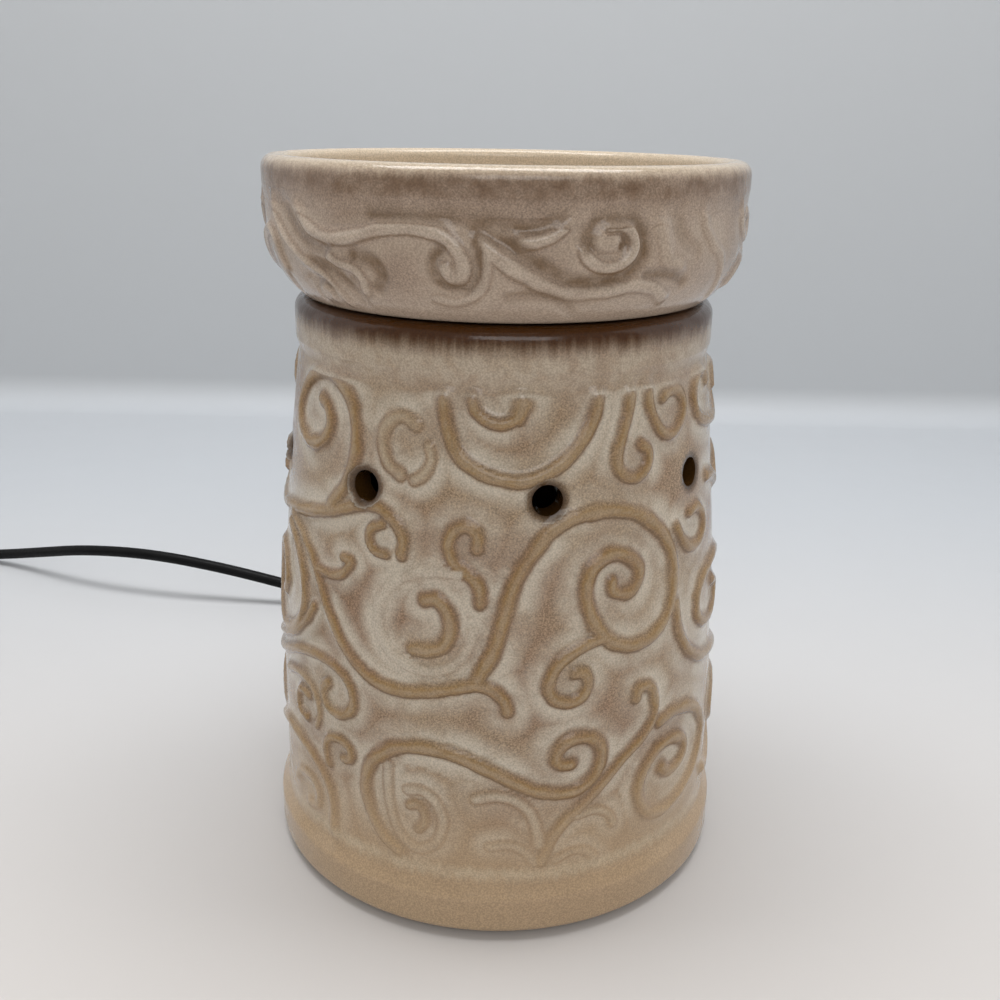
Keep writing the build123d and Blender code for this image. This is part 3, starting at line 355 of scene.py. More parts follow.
@dataclass(frozen=True)
class SolidFinish:
    """A metal, plastic or rubber with a fine grain and a little wear.

    Attributes:
        name: The material's name.
        colour: Its colour.
        worn: The colour of its lighter or darker patches.
        roughness: Its least and most roughness.
        metallic: 1 for bare metal.
        grain: Grains per metre.
        stretch: How the grain is drawn out along each axis.
        depth: The grain's depth in metres.
        specular: How strongly it shines; 0.5 is common plastic.
    """

    name: str
    colour: Colour
    worn: Colour
    roughness: Pair
    metallic: float = 0.0
    grain: float = 1500.0
    stretch: Colour = (1.0, 1.0, 1.0)
    depth: float = 0.00004
    specular: float = 0.5

    def material(self) -> bpy.types.Material:
        """Makes the finish's material.

        Returns:
            The material.
        """
        shader = Shader(self.name)
        patches = shader.ease(shader.cloud(self.grain / 9, 3), 0.38, 0.68)
        grain = shader.cloud(self.grain, 2, self.stretch)
        return shader.finish(
            Base_Color=shader.mix(patches, self.colour, self.worn),
            Roughness=shader.ease(grain, 0.3, 0.7, *self.roughness),
            Normal=shader.bump(grain, self.depth, 0.5),
            Metallic=self.metallic,
            Specular_IOR_Level=self.specular,
        )


@dataclass(frozen=True)
class GlassFinish:
    """Thin clear glass, very faintly uneven.

    Attributes:
        name: The material's name.
        colour: Its tint.
    """

    name: str
    colour: Colour

    def material(self) -> bpy.types.Material:
        """Makes the glass material.

        Returns:
            The material.
        """
        shader = Shader(self.name)
        waves = shader.bump(shader.cloud(90), 0.00005, 0.3)
        return shader.finish(
            Base_Color=self.colour, Roughness=0.02, Normal=waves, IOR=1.45, Transmission_Weight=1.0
        )


class Finish(Enum):
    """The finishes of the warmer's pieces."""

    BODY_GLAZE = GlazeFinish(
        name="body_glaze",
        ground=srgb(170, 147, 120),
        blush=srgb(154, 126, 102),
        amber_and_highlight=srgb(147, 113, 60),
        pool=srgb(203, 192, 175),
        # Painted shade along the scrolls' edges, heaviest below them.
        shaded_hollow=srgb(106, 78, 46),
        low=srgb(185, 159, 127),
        low_span=(12, 44),
        rim=srgb(70, 37, 2),
        rim_span=(129.2, 134.4),
        # The first band, at the foot's ledge, is glaze pooled pale there and partly a painted highlight
        # line along it.
        bands=((srgb(196, 176, 148), 12.0, 17.5), (srgb(186, 171, 152), 118.0, 138.0)),
        speckle=0.32,
        runs=3.0,
        stain_and_sheen=srgb(64, 42, 17),
    )
    DISH_GLAZE = GlazeFinish(
        name="dish_glaze",
        ground=srgb(179, 159, 141),
        blush=srgb(165, 144, 126),
        # A pale painted highlight on the tops of the dish's raised lines.
        amber_and_highlight=srgb(195, 179, 162),
        pool=srgb(182, 164, 146),
        # Painted shade along the scrolls' edges and in the sunk lines.
        shaded_hollow=srgb(126, 102, 78),
        low=srgb(186, 168, 151),
        low_span=(138, 146),
        rim=srgb(194, 178, 156),
        rim_span=(164.0, 167.5),
        bands=((srgb(124, 100, 80), 158.5, 168.5),),
        speckle=0.2,
        runs=2.0,
        # The bowl's inside: its own tint, made paler as a painted reflection.
        stain_and_sheen=srgb(196, 180, 158),
    )
    PLATED_STEEL = SolidFinish(
        "plated_steel", srgb(176, 176, 172), srgb(150, 151, 150), (0.28, 0.45), 1.0, 2400, (1, 1, 0.08)
    )
    PLATE_PAINT = SolidFinish("plate_paint", srgb(34, 34, 35), srgb(46, 45, 44), (0.42, 0.62))
    BRASS = SolidFinish("brass", srgb(206, 168, 96), srgb(178, 138, 74), (0.22, 0.40), 1.0, 2200)
    NICKEL = SolidFinish("nickel", srgb(204, 200, 192), srgb(182, 178, 170), (0.18, 0.32), 1.0, 2600)
    PHENOLIC = SolidFinish("phenolic", srgb(40, 33, 29), srgb(54, 44, 38), (0.35, 0.55))
    BLACK_GLASS = SolidFinish("black_glass", srgb(26, 26, 30), srgb(36, 36, 40), (0.08, 0.16))
    TUNGSTEN = SolidFinish("tungsten", srgb(120, 120, 124), srgb(92, 92, 96), (0.35, 0.5), 1.0, 6000)
    CLEAR_GLASS = GlassFinish("clear_glass", (0.97, 0.98, 0.97))
    RUBBER = SolidFinish(
        "rubber", srgb(32, 32, 32), srgb(42, 41, 40), (0.55, 0.75), grain=2600, depth=0.00008
    )
    CORD_BLACK = SolidFinish(
        "cord_black", srgb(6, 6, 7), srgb(10, 10, 11), (0.4, 0.55), grain=900, specular=0.15
    )
    SWITCH_BLACK = SolidFinish(
        "switch_black", srgb(28, 28, 29), srgb(38, 38, 38), (0.30, 0.48), grain=3000
    )
    WIRE_WHITE = SolidFinish("wire_white", srgb(226, 222, 212), srgb(206, 200, 188), (0.38, 0.5))

    def dress(self, *pieces: bpy.types.Object) -> None:
        """Gives pieces this finish.

        Args:
            *pieces: The pieces.
        """
        material = bpy.data.materials.get(f"{self.value.name}_finish") or self.value.material()
        for piece in pieces:
            piece.data.materials.clear()
            piece.data.materials.append(material)

    def dress_nodes(self, *names: str) -> None:
        """Gives the CAD nodes of these names this finish."""
        self.dress(*(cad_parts[name] for name in names))


@dataclass(frozen=True)
class Scroll:
    """One raised band of the scrollwork.

    Attributes:
        name: What it is.
        width: Its width in millimetres.
        points: The bearings and heights that its middle line goes through.
        strength: How strongly it stands out.
    """

    name: str
    width: float
    points: tuple[Pair, ...]
    strength: float = 1.0

    def middle_line(self, step: float) -> np.ndarray:
        """Draws a smooth line through the points.

        Args:
            step: How far apart its places are, about, in millimetres.

        Returns:
            Bearings and heights along the line.
        """
        knots = np.array(self.points, float)
        knots = np.vstack([2 * knots[0] - knots[1], knots, 2 * knots[-1] - knots[-2]])
        line = []
        for before, start, end, after in zip(knots, knots[1:], knots[2:], knots[3:]):
            count = ceil(hypot(*(end - start)) / step)
            t = np.linspace(0, 1, count, endpoint=False)[:, None]
            bend = 2 * before - 5 * start + 4 * end - after
            twist = 3 * (start - end) + after - before
            line.append(start + 0.5 * t * (end - before + t * (bend + t * twist)))
        return np.vstack([*line, knots[-2:-1]])


class Scrollwork:
    """All the scrolls round a ceramic piece, and how near each place on its wall is to them."""

    # How many times a half's scrolls go round, and how far apart the places of a line are.
    REPEATS = 2
    STEP = 0.6

    def __init__(self, scrolls: Iterable[Scroll], radius_at: Callable[[float], float]) -> None:
        """Lays the scrolls on the wall, repeated round it.

        Args:
            scrolls: The scrolls of the half that faces the camera.
            radius_at: The wall's radius at a height, in millimetres.
        """
        places = []
        self.scrolls = []
        for scroll in scrolls:
            for repeat in range(self.REPEATS):
                for bearing, height in scroll.middle_line(self.STEP):
                    angle = radians(bearing + repeat * 360 / self.REPEATS)
                    radius = radius_at(height)
                    places.append(Vector((radius * sin(angle), -radius * cos(angle), height)))
                    self.scrolls.append(scroll)
        self.tree = KDTree(len(places))
        for index, place in enumerate(places):
            self.tree.insert(place, index)
        self.tree.balance()

    def read(self, places: np.ndarray) -> tuple[np.ndarray, np.ndarray, np.ndarray]:
        """Finds the nearest scroll of each place.

        Args:
            places: Places on the wall, in millimetres.

        Returns:
            How many half widths each place is from the middle line, how much it lies below it, and how
            strongly that scroll stands out.
        """
        found = np.empty((3, len(places)))
        for row, place in enumerate(places):
            near, index, far = self.tree.find(place)
            scroll = self.scrolls[index]
            below = (near.z - place[2]) / max(far, 0.01)
            found[:, row] = (2 * far / scroll.width, below, scroll.strength)
        return tuple(found)


def rounded(corners: list[tuple[float, float, float]], segments: int) -> Outline:
    """Rounds the corners of an outline.

    Args:
        corners: Radius, height and rounding of each corner. The first and last stay sharp.
        segments: How many straight bits each rounding has.

    Returns:
        The outline's points.
    """
    points: Outline = [corners[0][:2]]
    for before, corner, after in zip(corners, corners[1:], corners[2:]):
        here = Vector(corner[:2])
        if not corner[2]:
            points.append(tuple(here))
            continue
        way_in = (Vector(before[:2]) - here).normalized()
        way_out = (Vector(after[:2]) - here).normalized()
        half = way_in.angle(way_out) / 2
        start = here + way_in * (corner[2] / tan(half))
        end = here + way_out * (corner[2] / tan(half))
        middle = here + (way_in + way_out).normalized() * (corner[2] / sin(half))
        turn = (start - middle).angle_signed(end - middle)
        for step in range(segments + 1):
            share = turn * step / segments
            points.append(tuple(middle + Matrix.Rotation(-share, 2) @ (start - middle)))
    return [*points, corners[-1][:2]]


def lathe(outline: Outline, steps: int, closed: bool) -> bmesh.types.BMesh:
    """Turns an outline round the upright axis.

    Args:
        outline: Radii and heights in millimetres.
        steps: How many steps a full turn has.
        closed: Whether the outline's end joins its start.

    Returns:
        The turned shape.
    """
    shape = bmesh.new()
    points = [shape.verts.new((0, -radius * MM, height * MM)) for radius, height in outline]
    pairs = list(zip(points, points[1:])) + ([(points[-1], points[0])] if closed else [])
    lines = [shape.edges.new(pair) for pair in pairs]
    turn = {"cent": (0, 0, 0), "axis": (0, 0, 1), "angle": 2 * pi, "steps": steps}
    bmesh.ops.spin(shape, geom=points + lines, use_merge=True, **turn)
    bmesh.ops.remove_doubles(shape, verts=shape.verts, dist=0.01 * MM)
    bmesh.ops.recalc_face_normals(shape, faces=shape.faces)
    return shape


def make_piece(name: str, shape: bmesh.types.BMesh, sharp: float = 40.0) -> bpy.types.Object:
    """Makes a piece from a shape, and frees the shape.

    Args:
        name: The piece's name.
        shape: The shape.
        sharp: Edges that turn by more than this many degrees stay sharp.

    Returns:
        The piece.
    """
    mesh = bpy.data.meshes.new(name)
    shape.to_mesh(mesh)
    shape.free()
    mesh.shade_smooth()
    mesh.set_sharp_from_angle(angle=radians(sharp))
    piece = bpy.data.objects.new(name, mesh)
    bpy.context.scene.collection.objects.link(piece)
    log.info("%s: %d faces", name, len(mesh.polygons))
    return piece


@dataclass
class Relief:
    """How scrolls stand out of a ceramic wall.

    Attributes:
        rise: How far they stand out, in millimetres.
        lift: How far the wall between them stands out.
        waves: How uneven the wall is.
        span: The heights that the relief fades out at.
        fades: How far above the lower one and below the upper one it fades.
        wave_length: How long the wall's waves are.
        skin: How far inside the wall's radius a point still counts as on its outside.
    """

    rise: float
    lift: float
    waves: float
    span: Pair
    fades: Pair = (3.0, 4.0)
    wave_length: float = 17.0
    skin: float = 0.4

    # Where a ridge and a sunk line level out, in half widths from their middle.
    RIDGE = (0.1, 1.35)
    HOLLOW = (0.3, 1.5)
    # How high the weakest scroll is and how deep a sunk line is, as shares of a strong scroll's height.
    WEAKEST = 0.3
    DEEPEST = 0.7

    def outside(
        self, places: np.ndarray, stain_and_sheen_share: np.ndarray, radius_at: Callable[[float], float]
    ) -> tuple[np.ndarray, np.ndarray]:
        """Finds the points on the outside of the wall.

        Args:
            places: All the points, in millimetres.
            stain_and_sheen_share: How strongly each one takes the stain colour; those places have no
                relief.
            radius_at: The wall's radius at a height.

        Returns:
            The points' rows, and how much of the relief each one shows.
        """
        bottom, top = self.span
        heights = places[:, 2]
        walls = np.array([radius_at(height) for height in heights])
        outer = np.hypot(places[:, 0], places[:, 1]) > walls - self.skin
        rows = np.flatnonzero(outer & (heights > bottom) & (heights < top))
        fade = smooth(bottom, bottom + self.fades[0], heights[rows])
        fade *= 1 - smooth(top - self.fades[1], top, heights[rows])
        return rows, fade * (1 - smooth(0.5, 1.0, stain_and_sheen_share[rows]))

    def raise_wall(
        self,
        piece: bpy.types.Object,
        radius_at: Callable[[float], float],
        scrolls: tuple[Scroll, ...],
        hollows: tuple[Scroll, ...] = (),
    ) -> None:
        """Raises the scrolls on a piece's outer wall, and keeps what the glaze needs at its points.

        Args:
            piece: The piece, with the places of its stain colour marked.
            radius_at: The wall's radius at a height, in millimetres.
            scrolls: The scrolls of half the wall; the other half repeats them.
            hollows: The hollows of half the wall, if there are any.
        """
        mesh = piece.data
        places = np.empty(3 * len(mesh.vertices))
        mesh.vertices.foreach_get("co", places)
        places = places.reshape(-1, 3) / MM
        stain_and_sheen_share = np.empty(len(mesh.vertices))
        mesh.attributes["stain_and_sheen"].data.foreach_get("value", stain_and_sheen_share)
        rows, fade = self.outside(places, stain_and_sheen_share, radius_at)
        wall = places[rows]
        shares, below, strength = Scrollwork(scrolls, radius_at).read(wall)
        scale = self.WEAKEST + (1 - self.WEAKEST) * strength
        ridge = (1 - smooth(*self.RIDGE, shares)) * scale * fade
        marks = {
            "reach": np.minimum(shares + FAR_REACH * (1 - fade), FAR_REACH),
            "strength": strength * fade,
            # How much painted shade the line along the scroll's edge gets: some on both sides, more
            # below it.
            "below": (0.25 + 0.55 * np.clip(below, 0, 1)) * strength * fade,
        }
        if hollows:
            shares, _, strength = Scrollwork(hollows, radius_at).read(wall)
            # A sunk line's share sinks the wall and also weights the painted shade in it.
            marks["shaded_hollow"] = (1 - smooth(*self.HOLLOW, shares)) * strength * fade
            ridge = ridge - self.DEEPEST * marks["shaded_hollow"]
        waves = np.array([noise.noise(Vector(place) / self.wave_length) for place in wall])
        out = self.rise * ridge + (self.lift + self.waves * waves) * fade
        places[rows, :2] *= (1 + out / np.hypot(wall[:, 0], wall[:, 1]))[:, None]
        mesh.vertices.foreach_set("co", (places * MM).ravel())
        for name, values in marks.items():
            whole = np.full(len(mesh.vertices), FAR_REACH if name == "reach" else 0.0)
            whole[rows] = values
            mesh.attributes.new(name, "FLOAT", "POINT").data.foreach_set("value", whole)
        mesh.update()


def stain_and_sheen(piece: bpy.types.Object, share: Callable[[Vector], float]) -> None:
    """Marks where a piece takes its stain colour: real stains, and the dish's inside, paled partly as a
    painted reflection.

    Args:
        piece: The piece.
        share: How strongly that colour shows at a place, in metres.
    """
    mesh = piece.data
    shares = [share(vertex.co) for vertex in mesh.vertices]
    mesh.attributes.new("stain_and_sheen", "FLOAT", "POINT").data.foreach_set("value", shares)


@dataclass(frozen=True)
class Hole:
    """A round hole through the body's wall.

    Attributes:
        bearing: Its bearing in degrees.
        height: Its height in millimetres.
        radius: Its radius in millimetres.
    """

    bearing: float
    height: float
    radius: float

    def across(self, place: Vector) -> tuple[float, float, float]:
        """Measures a place against the hole's axis.

        Args:
            place: The place, in metres.

        Returns:
            How far it is along the axis, beside it and above it, in metres.
        """
        angle = radians(self.bearing)
        along = place.x * sin(angle) - place.y * cos(angle)
        beside = place.x * cos(angle) + place.y * sin(angle)
        return along, beside, place.z - self.height * MM

    def holds(self, place: Vector) -> bool:
        """Whether a place lies within the hole."""
        along, beside, above = self.across(place)
        return along > 0 and hypot(beside, above) < self.radius * MM

    def round_off(self, place: Vector) -> Vector:
        """Moves a place on the wall to the hole's edge.

        Args:
            place: The place, in metres.

        Returns:
            The nearest place on the edge, as far from the upright axis as before.
        """
        _, beside, above = self.across(place)
        scale = self.radius * MM / hypot(beside, above)
        angle = radians(self.bearing) + np.arcsin(beside * scale / hypot(place.x, place.y))
        reach = hypot(place.x, place.y)
        return Vector((reach * sin(angle), -reach * cos(angle), self.height * MM + above * scale))


# The scrolls of the body's front half; the back half repeats them.
BODY_SCROLLS = (
    Scroll("hanging loop", 3.4, (
        (-14, 127), (-13.2, 119), (-10.2, 112.7), (-5, 109.2), (0, 107.7), (5, 107.3), (10, 108.6),
        (15.5, 111.6), (20, 116), (22.7, 120.7), (24, 127),
    )),
    Scroll("small loop", 2.8, ((-7.2, 124.3), (-6, 121.2), (-3, 119.2), (0.5, 118.8), (3.6, 120))),
    Scroll("small loop's leaf", 4.2, ((3.6, 120), (5, 122.4), (4.7, 125))),
    Scroll("left ring", 3.4, (
        (-20.5, 117.5), (-24, 119), (-28, 117.3), (-29.3, 113.5), (-27.8, 109.5), (-24, 107),
    ), strength=0.6),
    Scroll("left ring's leaf", 2.8, (
        (-17, 113.5), (-16.3, 110.8), (-18.2, 107.5), (-20.5, 106.3),
    ), strength=0.55),
    Scroll("left crown spiral", 3.8, (
        (-45, 97), (-41, 101), (-38.6, 105), (-37.4, 110), (-37.5, 115), (-39.2, 119.5), (-43, 123),
        (-48.5, 125), (-54.5, 124.2), (-60, 121.3), (-63.6, 116.8), (-62.8, 112), (-58.5, 109.2),
        (-53.5, 108.8), (-49, 110.8), (-47, 114), (-48.2, 117.5), (-51, 119),
    )),
    Scroll("left stem", 3.4, (
        (-76, 89.5), (-68, 91), (-60, 92.4), (-50, 94.3), (-42, 96.6), (-35, 99), (-29.5, 99.3),
        (-25, 97), (-22.6, 93.5), (-23, 90.3),
    )),
    Scroll("left stem's curl", 2.6, (
        (-28.3, 96), (-31.3, 94.6), (-31.9, 92), (-30, 89.8), (-27.2, 89.6),
    )),
    Scroll("middle hook", 3.4, (
        (-4, 81.5), (-4.6, 85.3), (-7.5, 88), (-10.4, 90.2), (-11.6, 93.5), (-10.2, 96.7), (-7.3, 97.8),
        (-4.9, 96), (-4.9, 93.4),
    ), strength=0.85),
    Scroll("ring's rim", 2.8, (
        (-9, 87.4), (-13.5, 87.6), (-19.5, 86.6), (-25.3, 83.3), (-28.6, 78), (-28.4, 72),
        (-25.4, 67.8), (-19.5, 65.4), (-12.5, 66), (-7.6, 69.8), (-5.4, 75),
    ), strength=0.2),
    Scroll("ring's curl", 3.8, (
        (-17, 81.2), (-14.4, 81.6), (-11.8, 79.6), (-10.8, 76), (-11.6, 72.3), (-15, 70.3), (-19.5, 70),
    ), strength=0.8),
    Scroll("long stem and great spiral", 3.9, (
        (-4.3, 64.6), (-2, 69), (0, 73.5), (1.2, 78.5), (2.7, 84), (5.2, 89), (8.4, 93.3), (12, 97),
        (17, 99.3), (23, 100), (29, 99.7), (36, 97.3), (42, 92.8), (45.8, 87), (46.8, 80.5), (45, 74.5),
        (40.5, 70.4), (35, 69), (29, 70), (24.5, 73.2), (21.4, 78), (20.2, 83.5), (21.7, 88),
        (25.5, 90.3), (30, 90.2), (33.6, 87.8), (34.6, 84.6), (32.6, 81.8), (29.6, 81.4),
    )),
    Scroll("great spiral's eye", 3.2, ((29.6, 81.4), (27, 82.6), (26.8, 84.8))),
    Scroll("branch spiral", 3.3, (
        (25, 72.3), (21, 71.6), (16.8, 69.8), (13.2, 66.8), (11.7, 63), (12.9, 59.9), (16.2, 58.4),
        (19.6, 59.4), (21.1, 62.2), (20.1, 64.9), (17.9, 65.2),
    )),
    Scroll("low stem", 3.4, (
        (-64, 90), (-57.5, 87.3), (-52, 83.6), (-48.6, 79), (-45.2, 73.5), (-40.8, 68), (-35.5, 63.5),
        (-30, 60.6), (-24, 59.6), (-17, 60.4), (-10, 62.1), (-4.5, 63.2), (-0.5, 62), (1.8, 59.6),
        (2.4, 57.2),
    )),
    Scroll("left leaf", 2.6, (
        (-49, 81.6), (-45, 81.2), (-41, 82), (-38.5, 83.9), (-37.3, 86), (-40, 86.3),
    )),
    Scroll("left great spiral", 4.0, (
        (-66, 87.5), (-60, 83.5), (-56.4, 78), (-55.6, 72), (-57.6, 66.8), (-63, 62.5), (-71, 60),
        (-79, 62), (-83, 68), (-82, 75), (-77, 79.5), (-71, 78.5), (-68, 73.5), (-70.5, 69),
    )),
    Scroll("left root", 2.8, (
        (-86, 53), (-76, 56), (-67, 59.3), (-60, 62.8), (-54.5, 67.2), (-51, 71.5),
    )),
    Scroll("left coil", 3.0, (
        (-88, 49), (-76, 51.6), (-66, 55.3), (-58, 58.5), (-50, 60.3), (-43, 60.3), (-38, 58.3),
        (-35.5, 54.4), (-36.6, 50.6), (-40.7, 48.7), (-45, 49.8), (-46.2, 53), (-44.4, 55.3),
    )),
    Scroll("left bud", 2.8, (
        (-68, 49.5), (-60, 52), (-53.5, 52), (-49.2, 49.3), (-47.9, 45.3), (-49.5, 42.2),
    ), strength=0.7),
    Scroll("left bud's curl", 3.0, (
        (-53, 48.6), (-57.4, 48.5), (-59, 45.5), (-57.4, 42.8), (-54, 42.4),
    )),
    Scroll("left hook", 2.9, (
        (-44.4, 34.6), (-45.3, 38.5), (-43.4, 41.7), (-39.6, 42.6), (-36.4, 41), (-36.9, 38.7),
        (-39, 38),
    )),
    Scroll("left foot arc", 3.6, (
        (-76, 33), (-66, 35.6), (-56, 35), (-49.5, 32.8), (-45.3, 29.3), (-43.2, 24.5), (-43.5, 17),
    )),
    Scroll("left foot curl", 3.2, (
        (-62, 22.5), (-58, 26), (-53, 26.6), (-49.7, 24), (-50.5, 20.3), (-54.5, 19),
    ), strength=0.5),
    Scroll("low wave", 3.8, (
        (-23, 19.5), (-27, 22), (-30.3, 27.3), (-31.9, 33), (-31, 38.5), (-28, 42.6), (-23.5, 45.6),
        (-18, 47), (-12, 46.8), (-6, 45.2), (-1, 42.8), (4, 40.3), (9, 38.1), (14, 36.9), (19, 36.9),
        (23, 39.2), (24.9, 42.7), (24.6, 46.6), (22, 49.2), (18.4, 49.7), (15.1, 48.2), (13.9, 45.8),
        (15, 43.9), (17.2, 43.7),
    )),
    Scroll("low wave's ring", 2.8, (
        (-25.6, 40.5), (-25.8, 36), (-25.2, 30.5), (-23.2, 24.6), (-18.6, 21), (-14, 23.2), (-12, 28.3),
        (-13.2, 33.2), (-16.8, 36.2), (-20.6, 35.6),
    ), strength=0.36),
    Scroll("low wave's eye", 2.8, (
        (-20, 32), (-18.4, 32.8), (-16.6, 31.4), (-16.2, 28.6), (-17.8, 26.4),
    ), strength=0.7),
    Scroll("foot leaf", 3.2, (
        (-4.5, 35.8), (0.5, 36.6), (5, 35.4), (8, 32.4), (9.5, 28.5), (10.3, 24),
    ), strength=0.4),
    Scroll("foot leaf's vein", 2.6, ((-1, 23.6), (3.5, 24.2), (7.3, 22.3), (9.6, 19)), strength=0.35),
    Scroll("right stem", 3.4, (
        (11, 19.5), (13, 25), (16.5, 29.6), (21, 33.2), (26, 37.5), (31, 42.1), (36, 45.3),
        (39.4, 48.6), (40.4, 52.5), (39.6, 56.2), (37.2, 58.4), (34.7, 57.9), (34.4, 56),
    )),
    Scroll("right leaf", 2.6, ((14.5, 19.4), (18.3, 21), (21.7, 20.4), (24.5, 18)), strength=0.4),
    Scroll("right bud", 2.6, ((19.5, 30.2), (24, 30.6), (27.6, 28.8), (29.2, 25.6)), strength=0.5),
    Scroll("right foot spiral", 3.9, (
        (42.5, 47.7), (48.5, 48.2), (55, 46.8), (60.8, 43.5), (64.4, 38.5), (63.8, 33), (60, 28.4),
        (53.5, 25), (46.5, 23.2), (40.6, 24.5), (37, 28.4), (36.4, 33), (38.5, 37.7), (42.8, 41),
        (48, 41.4), (52.3, 39.3), (53.5, 36.3), (51, 33.7), (46.8, 33.2), (44.2, 35.2),
    )),
    Scroll("right root", 3.8, (
        (47.6, 75), (48.9, 69.5), (51.2, 65), (54.8, 61), (60, 58), (67, 55.8), (78, 53.6), (92, 50.2),
    )),
    Scroll("right great spiral", 3.8, (
        (92, 70), (87, 75.5), (79, 78.5), (70, 78.6), (63, 77), (58.8, 73.3), (59, 68.8), (63, 65.6),
        (69.5, 64.6), (75, 66.8), (76, 71), (71.5, 73),
    )),
    Scroll("right hook", 3.2, (
        (47.8, 92.5), (50.5, 89), (54.5, 86.5), (59, 86.6), (61.8, 89.6), (61, 93), (57.6, 95),
        (53.8, 94.7),
    )),
    Scroll("right drop", 3.2, (
        (33.3, 127), (32.2, 121), (30.4, 116.5), (28.7, 112), (28.7, 108.7), (31.1, 106.6),
        (34.6, 106.1), (37.6, 108.1), (38, 110.9), (36, 112.6),
    )),
    Scroll("right crown loop", 3.1, (
        (38.3, 127), (38.6, 121), (40.4, 117), (43.7, 114), (47.6, 113.7), (51.3, 116.1), (52.2, 119.5),
        (50, 122.1), (46.5, 122.8), (43.6, 121.6),
    )),
    Scroll("side crown loop", 3.3, (
        (68, 121.5), (66, 124), (61.7, 124), (58.8, 121.6), (58.5, 118), (61, 115), (66, 113),
        (73, 111.8), (81, 112), (88, 115), (90, 119.5), (86, 123), (80.5, 122), (79, 118.6),
    )),
    Scroll("side stem", 3.4, ((66, 100), (74, 98.5), (82, 95), (90, 91.5), (98, 89.8), (104, 89.5))),
    Scroll("side leaf", 3.0, ((82, 95), (86, 99.5), (92, 102), (98, 100.5), (100, 97))),
    Scroll("side foot spiral", 3.6, (
        (70, 22), (76, 21), (84, 23.5), (91, 28), (95, 34), (93.5, 40), (87, 43), (80.5, 41.3),
        (77.5, 36.5), (80, 32), (85.5, 31.6), (88, 35), (85, 37.2),
    )),
)


